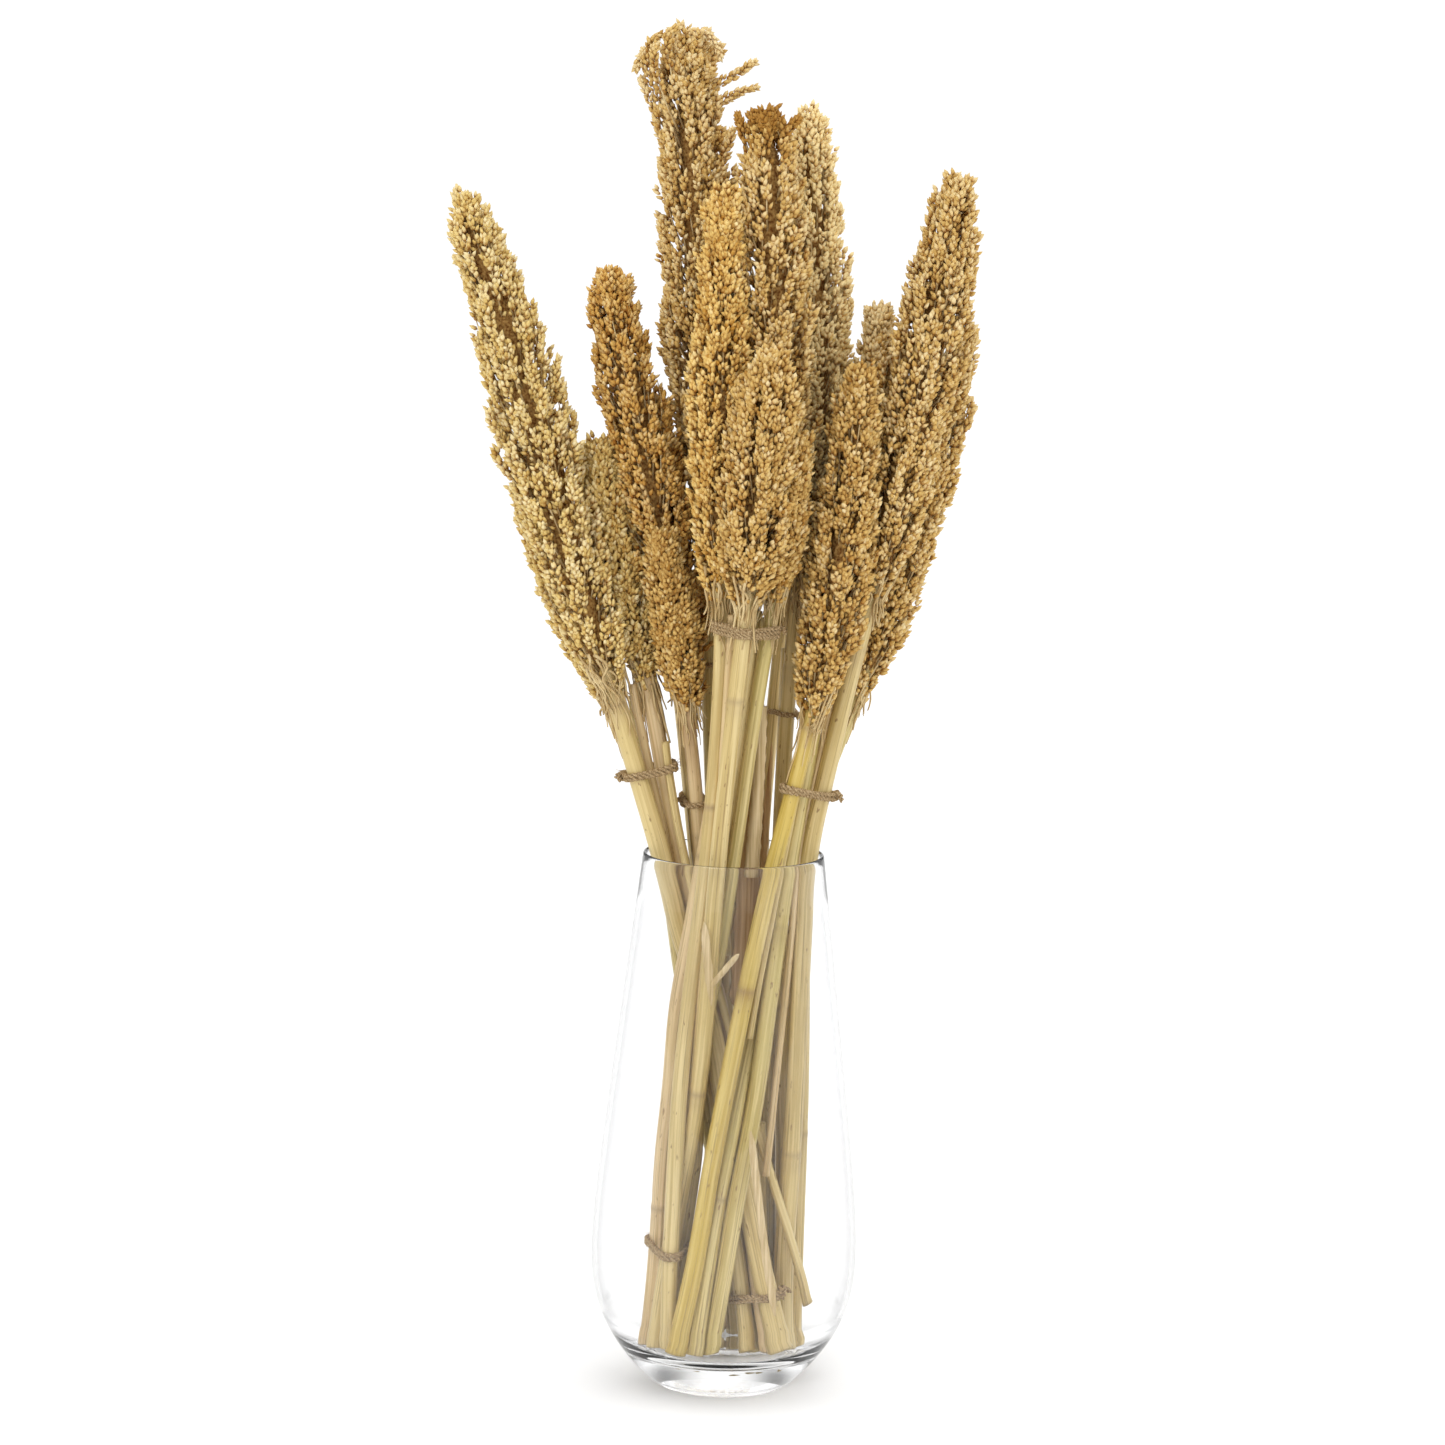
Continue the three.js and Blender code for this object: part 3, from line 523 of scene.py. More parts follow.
def glass_outline():
    """Radius and height from the middle of the underside, up the outside, over a round rim, and down
    the inside to the middle of the floor."""
    heel = np.linspace(0, np.pi / 2, 8)
    under = np.stack([[0, 12, 24, 30], [1.6, 1.4, 0.8, 0.25]], 1)
    foot_turn = np.stack([FOOT_RADIUS - 3 + 3.4 * np.sin(heel), 2.2 - 2.2 * np.cos(heel)], 1)
    heights = np.concatenate([np.linspace(3.4, BELLY_HEIGHT, 40),
                              np.linspace(BELLY_HEIGHT, VASE_HEIGHT - RIM_ROUNDING, 60)[1:]])
    outside = np.stack([outside_radius(heights), heights], 1)
    over = np.linspace(0, np.pi, 9)[1:-1]
    lip = WALL - LIP_THINNING
    middle = outside_radius(np.array(VASE_HEIGHT)) - lip / 2
    rim = np.stack([middle + lip / 2 * np.cos(over),
                    VASE_HEIGHT - RIM_ROUNDING + RIM_ROUNDING * np.sin(over)], 1)
    shoulder = INSIDE_FLOOR + FLOOR_FILLET
    down = np.linspace(VASE_HEIGHT - RIM_ROUNDING, shoulder, 70)
    inside = np.stack([outside_radius(down) - WALL + LIP_THINNING * np.clip(
        1 - (VASE_HEIGHT - down) / LIP_LENGTH, 0, 1), down], 1)
    wall_radius = inside[-1, 0]
    turn = np.linspace(0, np.pi / 2, 16)[1:]
    fillet = np.stack([FLOOR_RADIUS + (wall_radius - FLOOR_RADIUS) * np.cos(turn),
                       shoulder - FLOOR_FILLET * np.sin(turn)], 1)
    floor = np.stack([np.linspace(FLOOR_RADIUS, 0, 12)[1:],
                      INSIDE_FLOOR + 1.6 * np.linspace(0, 1, 12)[1:] ** 2], 1)
    return np.concatenate([under, foot_turn, outside, rim, inside, fillet, floor])


# %% Spin the vase
def spin(outline, sides):
    """Points (r cos a, r sin a, z) for each outline point and angle, with one point at each end where
    the outline meets the axis. The outline runs so that the faces look out of the glass."""
    angle = np.linspace(0, 2 * np.pi, sides, endpoint=False)
    body = outline[1:-1]
    ring = np.stack([np.cos(angle), np.sin(angle)], 1)
    points = np.concatenate([body[:, None, :1] * ring,
                             np.broadcast_to(body[:, None, 1:], (len(body), sides, 1))], 2)
    points = np.concatenate([points.reshape(-1, 3), [[0, 0, outline[0, 1]], [0, 0, outline[-1, 1]]]])
    row = np.arange(len(body) - 1)[:, None] * sides
    here, beside = row + np.arange(sides), row + (np.arange(sides) + 1) % sides
    quads = np.stack([here, beside, beside + sides, here + sides], 2).reshape(-1, 4)
    edge, beside = np.arange(sides), (np.arange(sides) + 1) % sides
    low = len(points) - 2
    last = (len(body) - 1) * sides
    fans = np.concatenate([np.stack([np.full(sides, low), beside, edge], 1),
                           np.stack([np.full(sides, low + 1), last + edge, last + beside], 1)])
    return points * MM, [quads, fans]


VASE_SIDES = 144
vase_points, vase_faces = spin(glass_outline(), VASE_SIDES)
make_piece("blown_vase", vase_points, vase_faces, "vase_glass", GLASS, ("glass_vase",))
print("vase", len(vase_points), "points")

# %% [markdown]
# ## Stalks
# A sorghum stalk is a solid straw: slightly ribbed, flattened here and there, with a ring at each
# joint where a leaf once wrapped it. A plain tube would look like plastic pipe, so the radius is a
# small sum of waves round the stalk, with a swelling at each joint.
# %% How each stalk differs
JOINT_HEIGHTS = {
    "left_stalk_1": (382, 150), "left_stalk_2": (300,), "left_stalk_3": (255, 90),
    "left_stalk_4": (190,),
    "inner_left_stalk_1": (360, 200), "inner_left_stalk_2": (310,), "inner_left_stalk_3": (280,),
    "tall_stalk_1": (402, 180), "tall_stalk_2": (440, 220), "front_stalk_1": (300, 100),
    "front_stalk_2": (391, 170), "front_stalk_3": (240,), "front_stalk_4": (330,),
    "golden_stalk_1": (399, 210), "golden_stalk_2": (300,), "right_stalk_1": (415, 130),
    "right_stalk_2": (374, 227), "right_stalk_3": (140,), "right_stalk_4": (260,),
    "right_stalk_5": (330, 110),
}
STRAW_COLOURS = {
    "right_stalk_2": "yellow straw", "left_stalk_3": "pink straw", "front_stalk_1": "pink straw",
    "right_stalk_4": "green straw", "front_stalk_3": "green straw", "left_stalk_2": "green straw",
    "inner_left_stalk_2": "pink straw", "tall_stalk_1": "green straw", "right_stalk_5": "green straw",
}
STAINED = {"inner_left_stalk_1": (345, 400, 0.85), "inner_left_stalk_2": (345, 400, 0.6),
           "right_stalk_2": (222, 232, 0.5)}
STALK_SIDES = 24
STALK_STEP = 3 * MM
INTO_HEAD = 45 * MM
print(len(JOINT_HEIGHTS), "stalks with joints,", len(STAINED), "with stains")


# %% The line of a stalk
def stalk_line(node):
    """Heights, centres and radii of a stalk. Under a head it goes on into the head by a fixed length,
    and its radius falls there by a third, R (1 - 0.35 u), with u the share of that length."""
    rings = rings_of(node)
    low, high = rings[0][0], rings[0][-1]
    head = node.replace("_stalk_", "_head_")
    if head in NODES:
        rings, high = neck_rings(head)[:3], high + INTO_HEAD
    heights = np.linspace(low + 0.1 * MM, high, int((high - low) / STALK_STEP))
    path, radius = line_at(rings, heights)
    if head in NODES:
        own = heights < high - INTO_HEAD - 3 * MM
        inside = (heights - high + INTO_HEAD) / INTO_HEAD
        radius = np.where(own, radius, radius[own][-1] * (1 - 0.35 * inside))
    return heights, path, radius, low, high


def stalk_marks(node, heights, low):
    """Swelling, dusk and stain along a stalk. Each joint is a bell curve exp(-(gap / width)^2) over a
    slight waist, and a stain is a tent over its stretch. Every cut foot is a little brown."""
    swelling, joint, stain = np.zeros((3, len(heights)))
    for place in JOINT_HEIGHTS.get(node, ()):
        gap = (heights - place * MM) / MM
        swelling += 0.055 * np.exp(-(gap / 1.6) ** 2) - 0.03 * np.exp(-((gap - 5) / 4) ** 2)
        joint += 0.6 * np.exp(-(gap / 1.1) ** 2) + 0.2 * np.exp(-((gap + 5) / 5) ** 2)
    if node in STAINED:
        start, stop, strength = STAINED[node]
        away = np.abs(heights / MM - (start + stop) / 2)
        stain = strength * np.clip(1 - away / (stop - start) * 1.6, 0, 1)
    return swelling, joint, stain + 0.22 * np.exp(-(heights - low) / (4 * MM))


# %% The surface of a stalk
def stalk(node, seed):
    """r(a, z) = R(z) (1 + oval cos 2a + ribs cos 11a + folds cos(5a + twist z) + swelling), where R is
    the model's radius. The foot is cut on a slant and splays a little."""
    rng = np.random.default_rng(seed)
    heights, path, radius, low, high = stalk_line(node)
    swelling, joint, stain = stalk_marks(node, heights, low)
    angle = np.linspace(0, 2 * np.pi, STALK_SIDES, endpoint=False)
    phase = rng.uniform(0, 2 * np.pi, 4)
    wander = np.sin(heights[:, None] * 23 + phase[3]) * 0.6
    shape = (1 + 0.035 * np.cos(2 * angle + phase[0] + wander) + 0.02 * np.cos(11 * angle + phase[1])
             + 0.018 * np.cos(5 * angle + phase[2] + 14 * heights[:, None]))
    flare = rng.uniform(0.06, 0.3) * np.exp(-(heights - low) / (14 * MM))
    shape = np.minimum(shape + swelling[:, None], 1.05) + flare[:, None] * np.cos(angle - phase[2]) ** 2
    radii = radius[:, None] * shape
    points, faces, turn, share = tubes(path[None], radii[None], STALK_SIDES)
    slant = rng.uniform(1.5, 8) * MM
    near_foot = np.clip(1 - (points[:, 2] - low) / (2.2 * slant), 0, 1)
    points[:, 2] += slant * near_foot * (0.5 + 0.5 * np.cos(turn - phase[3]))
    points[-2, 2] = low + slant / 2
    length = share * (high - low)
    reach = np.append(radii.ravel(), [0, 0])
    along = np.stack([reach * np.cos(turn), reach * np.sin(turn), length + seed], 1)
    joint, stain = (np.append(np.repeat(mark, STALK_SIDES), mark[[0, -1]]) for mark in (joint, stain))
    return make_piece("straw_" + node, points, faces, "stalk", STRAW[STRAW_COLOURS.get(node, "straw")],
                      (node,), along=along, joint=np.clip(joint, 0, 1), stain=stain)


# %% Grow the stalks
STALKS = [name for name in NODES if "_stalk_" in name]
for seed, name in enumerate(STALKS):
    stalk(name, seed)
print(len(STALKS), "stalks")

# %% [markdown]
# ## Seed heads
# A head is a dense broom of short branches that climb from the stalk, each crowded with pointed
# grains. Scattering grains evenly gives a fir cone, not sorghum. So branches come first, spread by the
# golden angle, each bending out to the head's outline and then up. They gather in lobes with dark
# gaps between them, they carry short twigs, and the grains sit round branches and twigs alike. A
# particle system could scatter the grains too, but whole arrays say exactly where each one goes.
# %% One grain and many
GRAIN_SIDES = 4
GRAIN_WAIST = ((0.24, 0.49), (0.64, 0.43))
GOLDEN_ANGLE = np.pi * (3 - 5**0.5)
print("golden angle in degrees:", round(np.degrees(GOLDEN_ANGLE), 2))


def grain_shape():
    """A pointed seed one unit long with eight ring points and two tips: share along it, and the x and
    y of each point in half widths."""
    angle = np.linspace(0, 2 * np.pi, GRAIN_SIDES, endpoint=False)
    rings = [np.stack([width * np.cos(angle), width * np.sin(angle), np.full(GRAIN_SIDES, place)], 1)
             for place, width in GRAIN_WAIST]
    points = np.concatenate([*rings, [[0, 0, 0], [0, 0, 1]]])
    edge = np.arange(GRAIN_SIDES)
    beside = (edge + 1) % GRAIN_SIDES
    foot, tip = 2 * GRAIN_SIDES, 2 * GRAIN_SIDES + 1
    faces = np.concatenate([
        np.stack([np.full(GRAIN_SIDES, foot), beside, edge], 1),
        np.stack([edge, beside, beside + GRAIN_SIDES], 1),
        np.stack([edge, beside + GRAIN_SIDES, edge + GRAIN_SIDES], 1),
        np.stack([edge + GRAIN_SIDES, beside + GRAIN_SIDES, np.full(GRAIN_SIDES, tip)], 1)])
    return points, faces


print("one grain has", len(grain_shape()[1]), "faces")


# %% Many grains at once
def place_grains(feet, directions, lengths, widths, rng):
    """Every grain at once: foot + share * length * d + width * (x A + y B), with A and B square to its
    direction d and turned by a random angle. Returns points, faces and each point's share."""
    shape, faces = grain_shape()
    across, aside = side_vectors(directions, (0.36, 0.48, 0.8))
    spin_by = rng.uniform(0, 2 * np.pi, len(feet))[:, None]
    first = across * np.cos(spin_by) + aside * np.sin(spin_by)
    second = np.cross(directions, first)
    section = shape[:, :1] * first[:, None] + shape[:, 1:2] * second[:, None]
    points = (feet[:, None] + shape[:, 2:] * (lengths[:, None] * directions)[:, None]
              + widths[:, None, None] * section)
    index = faces[None] + (np.arange(len(feet)) * len(shape))[:, None, None]
    return points.reshape(-1, 3), index.reshape(-1, 3), np.tile(shape[:, 2], len(feet))


# %% Grains on branches
SHOWING = -0.12


def points_along(paths, share):
    """Points (m, k, 3) at shares (m, k) of the way along the paths (m, n, 3), and directions there."""
    place = share * (paths.shape[1] - 1)
    low = np.minimum(place.astype(int), paths.shape[1] - 2)
    part = (place - low)[..., None]
    pick = np.arange(len(paths))[:, None]
    before, after = paths[pick, low], paths[pick, low + 1]
    return before * (1 - part) + after * part, unit(after - before)


def grains_on(paths, outward, count, rng, thick=2.8, start=0.1, size=1.0, splay=(0.4, 0.9)):
    """Grains in a golden-angle spiral round each path (m, n, 3). Grain k sits at share v_k of the way,
    a little off the path, and points along it and away from it. Those that would face the inside of
    the head, against outward (m, 3), are left out. Grains near a branch's foot, deep in the head, get a
    lower ripeness number as painted shade. Returns feet, directions, lengths, widths and ripeness with
    that painted depth shade."""
    many = len(paths)
    share = start + (1 - start) * (np.arange(count) + rng.uniform(0, 1, (many, count))) / count
    here, direction = points_along(paths, share)
    across, aside = side_vectors(direction, (0.31, 0.9, 0.3))
    turn = (np.arange(count) * GOLDEN_ANGLE + rng.uniform(0, 2 * np.pi, (many, 1))
            + rng.normal(0, 0.25, (many, count)))[..., None]
    off = across * np.cos(turn) + aside * np.sin(turn)
    girth = thick * MM * (0.3 + 0.7 * np.sin(np.pi * np.clip(share, 0, 1) ** 0.75))[..., None]
    lean = unit(direction + off * rng.uniform(*splay, (many, count, 1))
                + rng.normal(0, 0.16, (many, count, 3)))
    feet = here + off * girth * rng.uniform(0.45, 1.0, (many, count, 1)) - lean * 1.2 * MM
    shows = (off * outward[:, None]).sum(-1) > SHOWING
    lengths = rng.uniform(4.2, 5.6, (many, count)) * MM * size
    widths = lengths * rng.uniform(0.46, 0.58, (many, count))
    # Ripeness: a random level per branch and per grain, plus painted depth shade that darkens grains
    # near the branch's foot.
    ripe = rng.normal(0, 0.09, (many, 1)) + rng.normal(0, 0.13, (many, count)) + 0.3 * (share - 0.55)
    return feet[shows], lean[shows], lengths[shows], widths[shows], ripe[shows]


# %% Twigs on branches
TWIGS = 4
TWIG_STEPS = 5


def twigs_on(paths, outward, rng, long=(4, 8)):
    """Short twigs that leave each path on its outer side and turn upward, foot + L (v d + 0.35 v^2 z),
    with d between the path's direction and the outside. They make the small clusters of grains."""
    many = len(paths)
    foot, ahead = points_along(paths, rng.uniform(0.35, 0.98, (many, TWIGS)))
    off = unit(ahead * rng.uniform(0.8, 1.3, (many, TWIGS, 1)) + rng.normal(0, 0.22, (many, TWIGS, 3))
               + outward[:, None] * rng.uniform(0.15, 0.7, (many, TWIGS, 1)))
    length = rng.uniform(*long, (many, TWIGS, 1, 1)) * MM
    share = np.linspace(0, 1, TWIG_STEPS)[:, None]
    upward = 0.35 * share**2 * np.array([0, 0, 1.0])
    twigs = foot[:, :, None] + length * (off[:, :, None] * share + upward)
    return twigs.reshape(-1, TWIG_STEPS, 3), np.repeat(outward, TWIGS, axis=0)


# %% Branches of a head
LOBE_HEIGHT = 34 * MM
LOBE_DEPTH = 0.2
BRANCH_STEPS = 9


def branches_of(rings, number, rng, reach=26, lumps=0.09, crown=3):
    """Branch i starts inside the head at azimuth i * golden angle, and its distance from the middle
    eases out, R (0.35 + (f - 0.35) (1 - (1 - v)^2)), while it climbs by its own length. More start
    where the head is fat. f grows up each lobe and drops back at its top, and the lowest branches
    start higher on one side. Returns paths (m, n, 3) and outward unit vectors (m, 3)."""
    heights = rings[0]
    low, high = heights[0], heights[-1] + crown * MM
    fine = np.linspace(low, high, 200)
    _, girth = line_at(rings, np.clip(fine, heights[0], heights[-1]))
    weight = np.cumsum(girth + 4 * MM)
    start = np.interp(np.linspace(0, 1, number), (weight - weight[0]) / (weight[-1] - weight[0]), fine)
    start += rng.normal(0, 2.5 * MM, number)
    azimuth = np.arange(number) * GOLDEN_ANGLE + rng.normal(0, 0.2, number)
    length = reach * MM * rng.uniform(0.7, 1.25, number)
    skirt = low + 8 * MM * (1 + np.cos(azimuth - rng.uniform(0, 2 * np.pi))) - 18 * MM
    start = np.clip(start - 0.35 * length, skirt, high - 10 * MM)
    end = np.minimum(start + length, high + rng.uniform(-3, 2, number) * MM)
    wave = rng.uniform(0, 2 * np.pi, 2)
    sector = np.round(azimuth * 5 / (2 * np.pi))
    tier = ((end / LOBE_HEIGHT + np.sin(sector * 12.9 + wave[0]) * 3.7) % 1) - 0.5
    fullness = (0.84 + np.abs(rng.normal(0, lumps, number)) + LOBE_DEPTH * tier
                + 0.06 * np.sin(2 * azimuth + 45 * start + wave[0])
                + 0.05 * np.sin(3 * azimuth - 85 * start + wave[1]))
    share = np.linspace(0, 1, BRANCH_STEPS)
    climb = start[:, None] + (end - start)[:, None] * share
    azimuth = azimuth[:, None] + rng.normal(0, 0.22, (number, 1)) * share
    centre, radius = line_at_each(rings, climb)
    eased = 0.35 + (fullness[:, None] - 0.35) * (1 - (1 - share) ** 2)
    out = np.stack([np.cos(azimuth), np.sin(azimuth)], 2)
    paths = np.concatenate([centre[..., :2] + out * (radius * eased)[..., None], climb[..., None]], 2)
    outward = np.concatenate([out[:, BRANCH_STEPS // 2], np.zeros((number, 1))], 1)
    return paths, outward


# %% Loose branches at the tip and bare ones at the neck
def loose_top(rings, number, spread, rise, rng):
    """Open branches that leave the middle below the tip and arch over: they move out by
    spread v^1.3 and up by rise (1.5 v - 0.6 v^2)."""
    top = rings[0][-1]
    share = np.linspace(0, 1, BRANCH_STEPS)
    start = top - rise * MM * rng.uniform(0.8, 1.25, number)
    centre, _ = line_at(rings, np.sort(start))
    azimuth = np.arange(number) * GOLDEN_ANGLE + rng.normal(0, 0.3, number)
    out = np.stack([np.cos(azimuth), np.sin(azimuth)], 1)
    far = spread * MM * rng.uniform(0.5, 1.0, number)[:, None] * share**1.3
    up = rise * MM * rng.uniform(0.75, 1.1, number)[:, None] * (1.5 * share - 0.6 * share**2)
    paths = centre[:, None] + np.concatenate([out[:, None] * far[..., None], up[..., None]], 2)
    return paths, np.zeros((number, 3))


FIBRE_STEPS = 12


def neck_fibres(rings, number, rng):
    """Bare branchlets that hang from inside the head down along the stalk. Each starts at the head's
    outside and comes in to just off the stalk, with a wave that lifts some of them away."""
    low = rings[0][np.searchsorted(rings[3], True)]
    share = np.linspace(0, 1, FIBRE_STEPS)
    top = low + rng.uniform(2, 24, number) * MM
    bottom = low - rng.uniform(2, 34, number) * MM * rng.uniform(0.1, 1, number)
    climb = bottom[:, None] + (top - bottom)[:, None] * share
    centre, radius = line_at_each(rings, climb)
    azimuth = rng.uniform(0, 2 * np.pi, (number, 1)) + rng.normal(0, 0.25, (number, 1)) * share**2
    sway, phase = rng.normal(0, 0.13, (number, 1)), rng.uniform(0, 6, (number, 1))
    azimuth = azimuth + sway * np.sin(9 * share + phase)
    out = np.stack([np.cos(azimuth), np.sin(azimuth)], 2)
    loose = np.abs(rng.normal(0, 2.6, (number, 1))) * (1 - share) ** 1.5
    reach = np.minimum(radius, 5.5 * MM + 9 * MM * share) * 0.92 + (0.6 + loose) * MM
    return np.concatenate([centre[..., :2] + out * reach[..., None], climb[..., None]], 2)


# %% How far grains may reach
OUTER_SHARE = 0.022
CORNERS = np.array(CAD_BOX)
OUTER_BOX = CORNERS + np.array([[-1], [1]]) * (CORNERS[1] - CORNERS[0]) * OUTER_SHARE
print("grains stay between", np.round(OUTER_BOX, 3).tolist())

def within_reach(points):
    """Whether each point lies inside that box."""
    return ((points > OUTER_BOX[0]) & (points < OUTER_BOX[1])).all(-1)


# %% Fine stems and the core of a head
STEM_SIDES = 3
FIBRE_SIDES = 4
CORE_SIDES = 24
CORE_STEPS = 60


def bristles_on(feet, lean, number, rng):
    """Fine awns that leave grains picked at random: foot + L (v d + 0.5 v^2 b), with b bent off d."""
    pick = rng.integers(0, len(feet), number)
    bend = unit(lean[pick] + rng.normal(0, 0.35, (number, 3)))
    share = np.linspace(0, 1, 4)[None, :, None]
    long = rng.uniform(2, 5, (number, 1, 1)) * MM
    shape = lean[pick][:, None] * share + 0.5 * bend[:, None] * share**2
    bristles = feet[pick][:, None] + long * shape
    fine = np.linspace(0.16, 0.05, 4) * MM * np.ones((number, 1))
    return tubes(bristles, fine, STEM_SIDES)[:2]


def stems_of(stems, fibres, feet, lean, awns, rng):
    """Branches that thin towards their tips, flat bare fibres at the neck, and awns, as one mesh."""
    stems = stems[within_reach(stems).all(1)]
    thin = np.linspace(0.75, 0.3, stems.shape[1]) * MM * np.ones((len(stems), 1))
    parts = [tubes(stems[:, ::2], thin[:, ::2], STEM_SIDES)[:2]]
    strip = rng.uniform(0.45, 1.1, (len(fibres), 1)) * np.linspace(0.5, 1, fibres.shape[1]) * MM
    parts.append(tubes(fibres, strip, FIBRE_SIDES)[:2])
    parts.append(bristles_on(feet, lean, awns, rng))
    return one_mesh(parts)


def core_of(rings, core, rng):
    """The chaff inside a head: the model's radius times the core's share, rough all over, and a
    quarter as wide at both ends as it would be there without its taper. It hides the gaps through the
    head, and its very dark brown finish is painted shade for the deep inside of the head."""
    heights = np.linspace(rings[0][0] + 6 * MM, rings[0][-1] - 9 * MM, CORE_STEPS)
    path, radius = line_at(rings, heights)
    angle = np.linspace(0, 2 * np.pi, CORE_SIDES, endpoint=False)
    rough = (1 + 0.08 * np.sin(7 * angle + 90 * heights[:, None] / 0.05)
             + rng.normal(0, 0.03, (CORE_STEPS, CORE_SIDES)))
    from_end = np.minimum(heights - heights[0], heights[-1] - heights)
    taper = np.minimum(1, from_end / (12 * MM) + 0.25)
    return tubes(path[None], ((radius * core * taper)[:, None] * rough)[None], CORE_SIDES)[:2]


# %% A whole head
def seed_head(node, seed, tone="tan", number=175, crowd=36, reach=36, lumps=0.12, ripeness=0.55,
              burnt_top=0.0, core=0.44, sprigs=(), size=1.0, open_top=(4, 8, 24), awns=60, necks=30):
    """Chaff core, darkened as painted shade, branches and grains for one head. burnt_top lowers the
    ripeness near the top, sprigs are extra branches through a few points in millimetres, open_top is
    the number, spread and rise of loose branches at the tip, awns the number of fine bristles, and
    necks that of the bare fibres on the stalk below."""
    rng = np.random.default_rng(1000 + seed)
    rings = rings_of(node)
    low, high = rings[0][0], rings[0][-1]
    paths, outward = branches_of(rings, number, rng, reach, lumps)
    twigs, sideways = twigs_on(paths, outward, rng)
    sets = [grains_on(paths, outward, crowd - 18, rng, thick=2.3, size=size),
            grains_on(twigs, sideways, 9, rng, thick=1.9, size=size, splay=(0.3, 0.7))]
    arching, facing = loose_top(rings, *open_top, rng)
    sets.append(grains_on(arching, facing, crowd, rng, thick=2.0, start=0.3, size=size))
    stems = [paths, arching]
    fibres = neck_fibres(neck_rings(node), necks, rng)
    for knots in sprigs:
        stems.append(curve_through(np.array(knots) * MM, BRANCH_STEPS)[None])
        sets.append(grains_on(stems[-1], np.zeros((1, 3)), 38, rng, thick=2.0, start=0.3, size=0.9))
    grains = [np.concatenate(same) for same in zip(*sets)]
    kept = within_reach(grains[0] + grains[1] * grains[2][:, None])
    feet, lean, lengths, widths, ripe = [values[kept] for values in grains]
    points, faces, share = place_grains(feet, lean, lengths, widths, rng)
    climb = np.clip((feet[:, 2] - low) / (high - low), 0, 1)
    ripe = ripe + ripeness - burnt_top * np.clip((climb - 0.9) / 0.1, 0, 1)
    make_piece("grain_" + node, points, [faces], "seed_head", GRAIN[tone], (node,),
               ripeness=np.repeat(ripe, 2 * GRAIN_SIDES + 2), along_grain=share)
    points, faces = stems_of(np.concatenate(stems), fibres, feet, lean, awns, rng)
    make_piece("branches_" + node, points, faces, "seed_head", BRANCH)
    # The dark core: painted shade deep inside the head.
    points, faces = core_of(rings, core, rng)
    make_piece("chaff_" + node, points, faces, "seed_head", CHAFF_AND_PAINTED_SHADE)
    return len(feet)


# %% How each head differs
HEAD_STYLES = {
    "left_head_1": dict(tone="straw", number=215, ripeness=0.58, open_top=(6, 8, 30)),
    "left_head_2": dict(tone="straw", number=150),
    "left_head_3": dict(tone="straw", number=150, ripeness=0.45),
    "left_head_4": dict(tone="straw", number=110, ripeness=0.4),
    "inner_left_head_1": dict(tone="amber", number=195, lumps=0.14, ripeness=0.52,
                              open_top=(6, 9, 34)),
    "inner_left_head_2": dict(number=120, ripeness=0.35),
    "inner_left_head_3": dict(tone="amber", number=110),
    "tall_head_1": dict(number=225, lumps=0.14, ripeness=0.6, open_top=(26, 18, 50)),
    "tall_head_2": dict(number=110),
    "front_head_1": dict(number=210, ripeness=0.6, burnt_top=0.75, open_top=(10, 7, 13)),
    "front_head_2": dict(number=160, ripeness=0.48),
    "front_head_3": dict(number=110, ripeness=0.42),
    "front_head_4": dict(tone="gold", lumps=0.14, ripeness=0.38, open_top=(8, 12, 40), awns=520),
    "golden_head_1": dict(tone="gold", number=195, lumps=0.13, ripeness=1.0, open_top=(6, 9, 30)),
    "golden_head_2": dict(tone="gold", number=110),
    "right_head_1": dict(number=200, ripeness=0.57),
    "right_head_2": dict(number=160, ripeness=0.45),
    "right_head_3": dict(number=130, ripeness=0.8),
    "right_head_4": dict(tone="amber", number=90, ripeness=0.45),
    "right_head_5": dict(number=140),
}

# %% Sprigs that stand off a head, each through a few points in millimetres
SPRIGS = {
    "left_head_1": (((-142, 0, 608), (-150, -2, 618), (-159, -3, 622)),
                    ((-120, -6, 508), (-129, -10, 524), (-135, -12, 533)),
                    ((-109, -4, 540), (-105, -6, 556), (-102, -6, 571))),
    "inner_left_head_1": (((-66, 12, 585), (-74, 10, 604), (-80, 9, 615)),
                          ((-74, 12, 570), (-84, 10, 590), (-85, 10, 606))),
    "tall_head_1": (((-30, 28, 708), (-17, 27, 721), (-7, 26, 727), (1, 25, 733)),
                    ((-28, 28, 700), (-16, 27, 711), (-7, 26, 716), (2, 25, 719)),
                    ((-42, 28, 718), (-40, 27, 740), (-31, 26, 748), (-22, 25, 744), (-18, 24, 734)),
                    ((-44, 28, 708), (-53, 27, 728), (-60, 26, 734), (-64, 25, 727)),
                    ((-40, 26, 690), (-52, 26, 712), (-59, 25, 730), (-60, 24, 738)),
                    ((-42, 22, 700), (-54, 20, 722), (-57, 18, 741), (-50, 17, 746)),
                    ((-40, 28, 684), (-52, 28, 702), (-58, 28, 716), (-61, 28, 722)),
                    ((-38, 20, 706), (-46, 16, 730), (-47, 14, 745), (-41, 13, 750)),
                    ((-40, 18, 694), (-50, 14, 716), (-54, 12, 734), (-53, 11, 741)),
                    ((-28, 22, 640), (-19, 20, 665), (-13, 19, 685), (-10, 18, 696))),
    "front_head_1": (((0, -5, 678), (-5, -6, 695), (-8, -7, 704)),
                     ((12, -5, 680), (20, -6, 697), (25, -7, 703))),
    "golden_head_1": (((50, 33, 570), (55, 32, 590), (57, 32, 604)),),
    "right_head_3": (((69, 25, 570), (73, 24, 588), (74, 24, 600)),),
}
print(sum(len(sprigs) for sprigs in SPRIGS.values()), "sprigs on", len(SPRIGS), "heads")

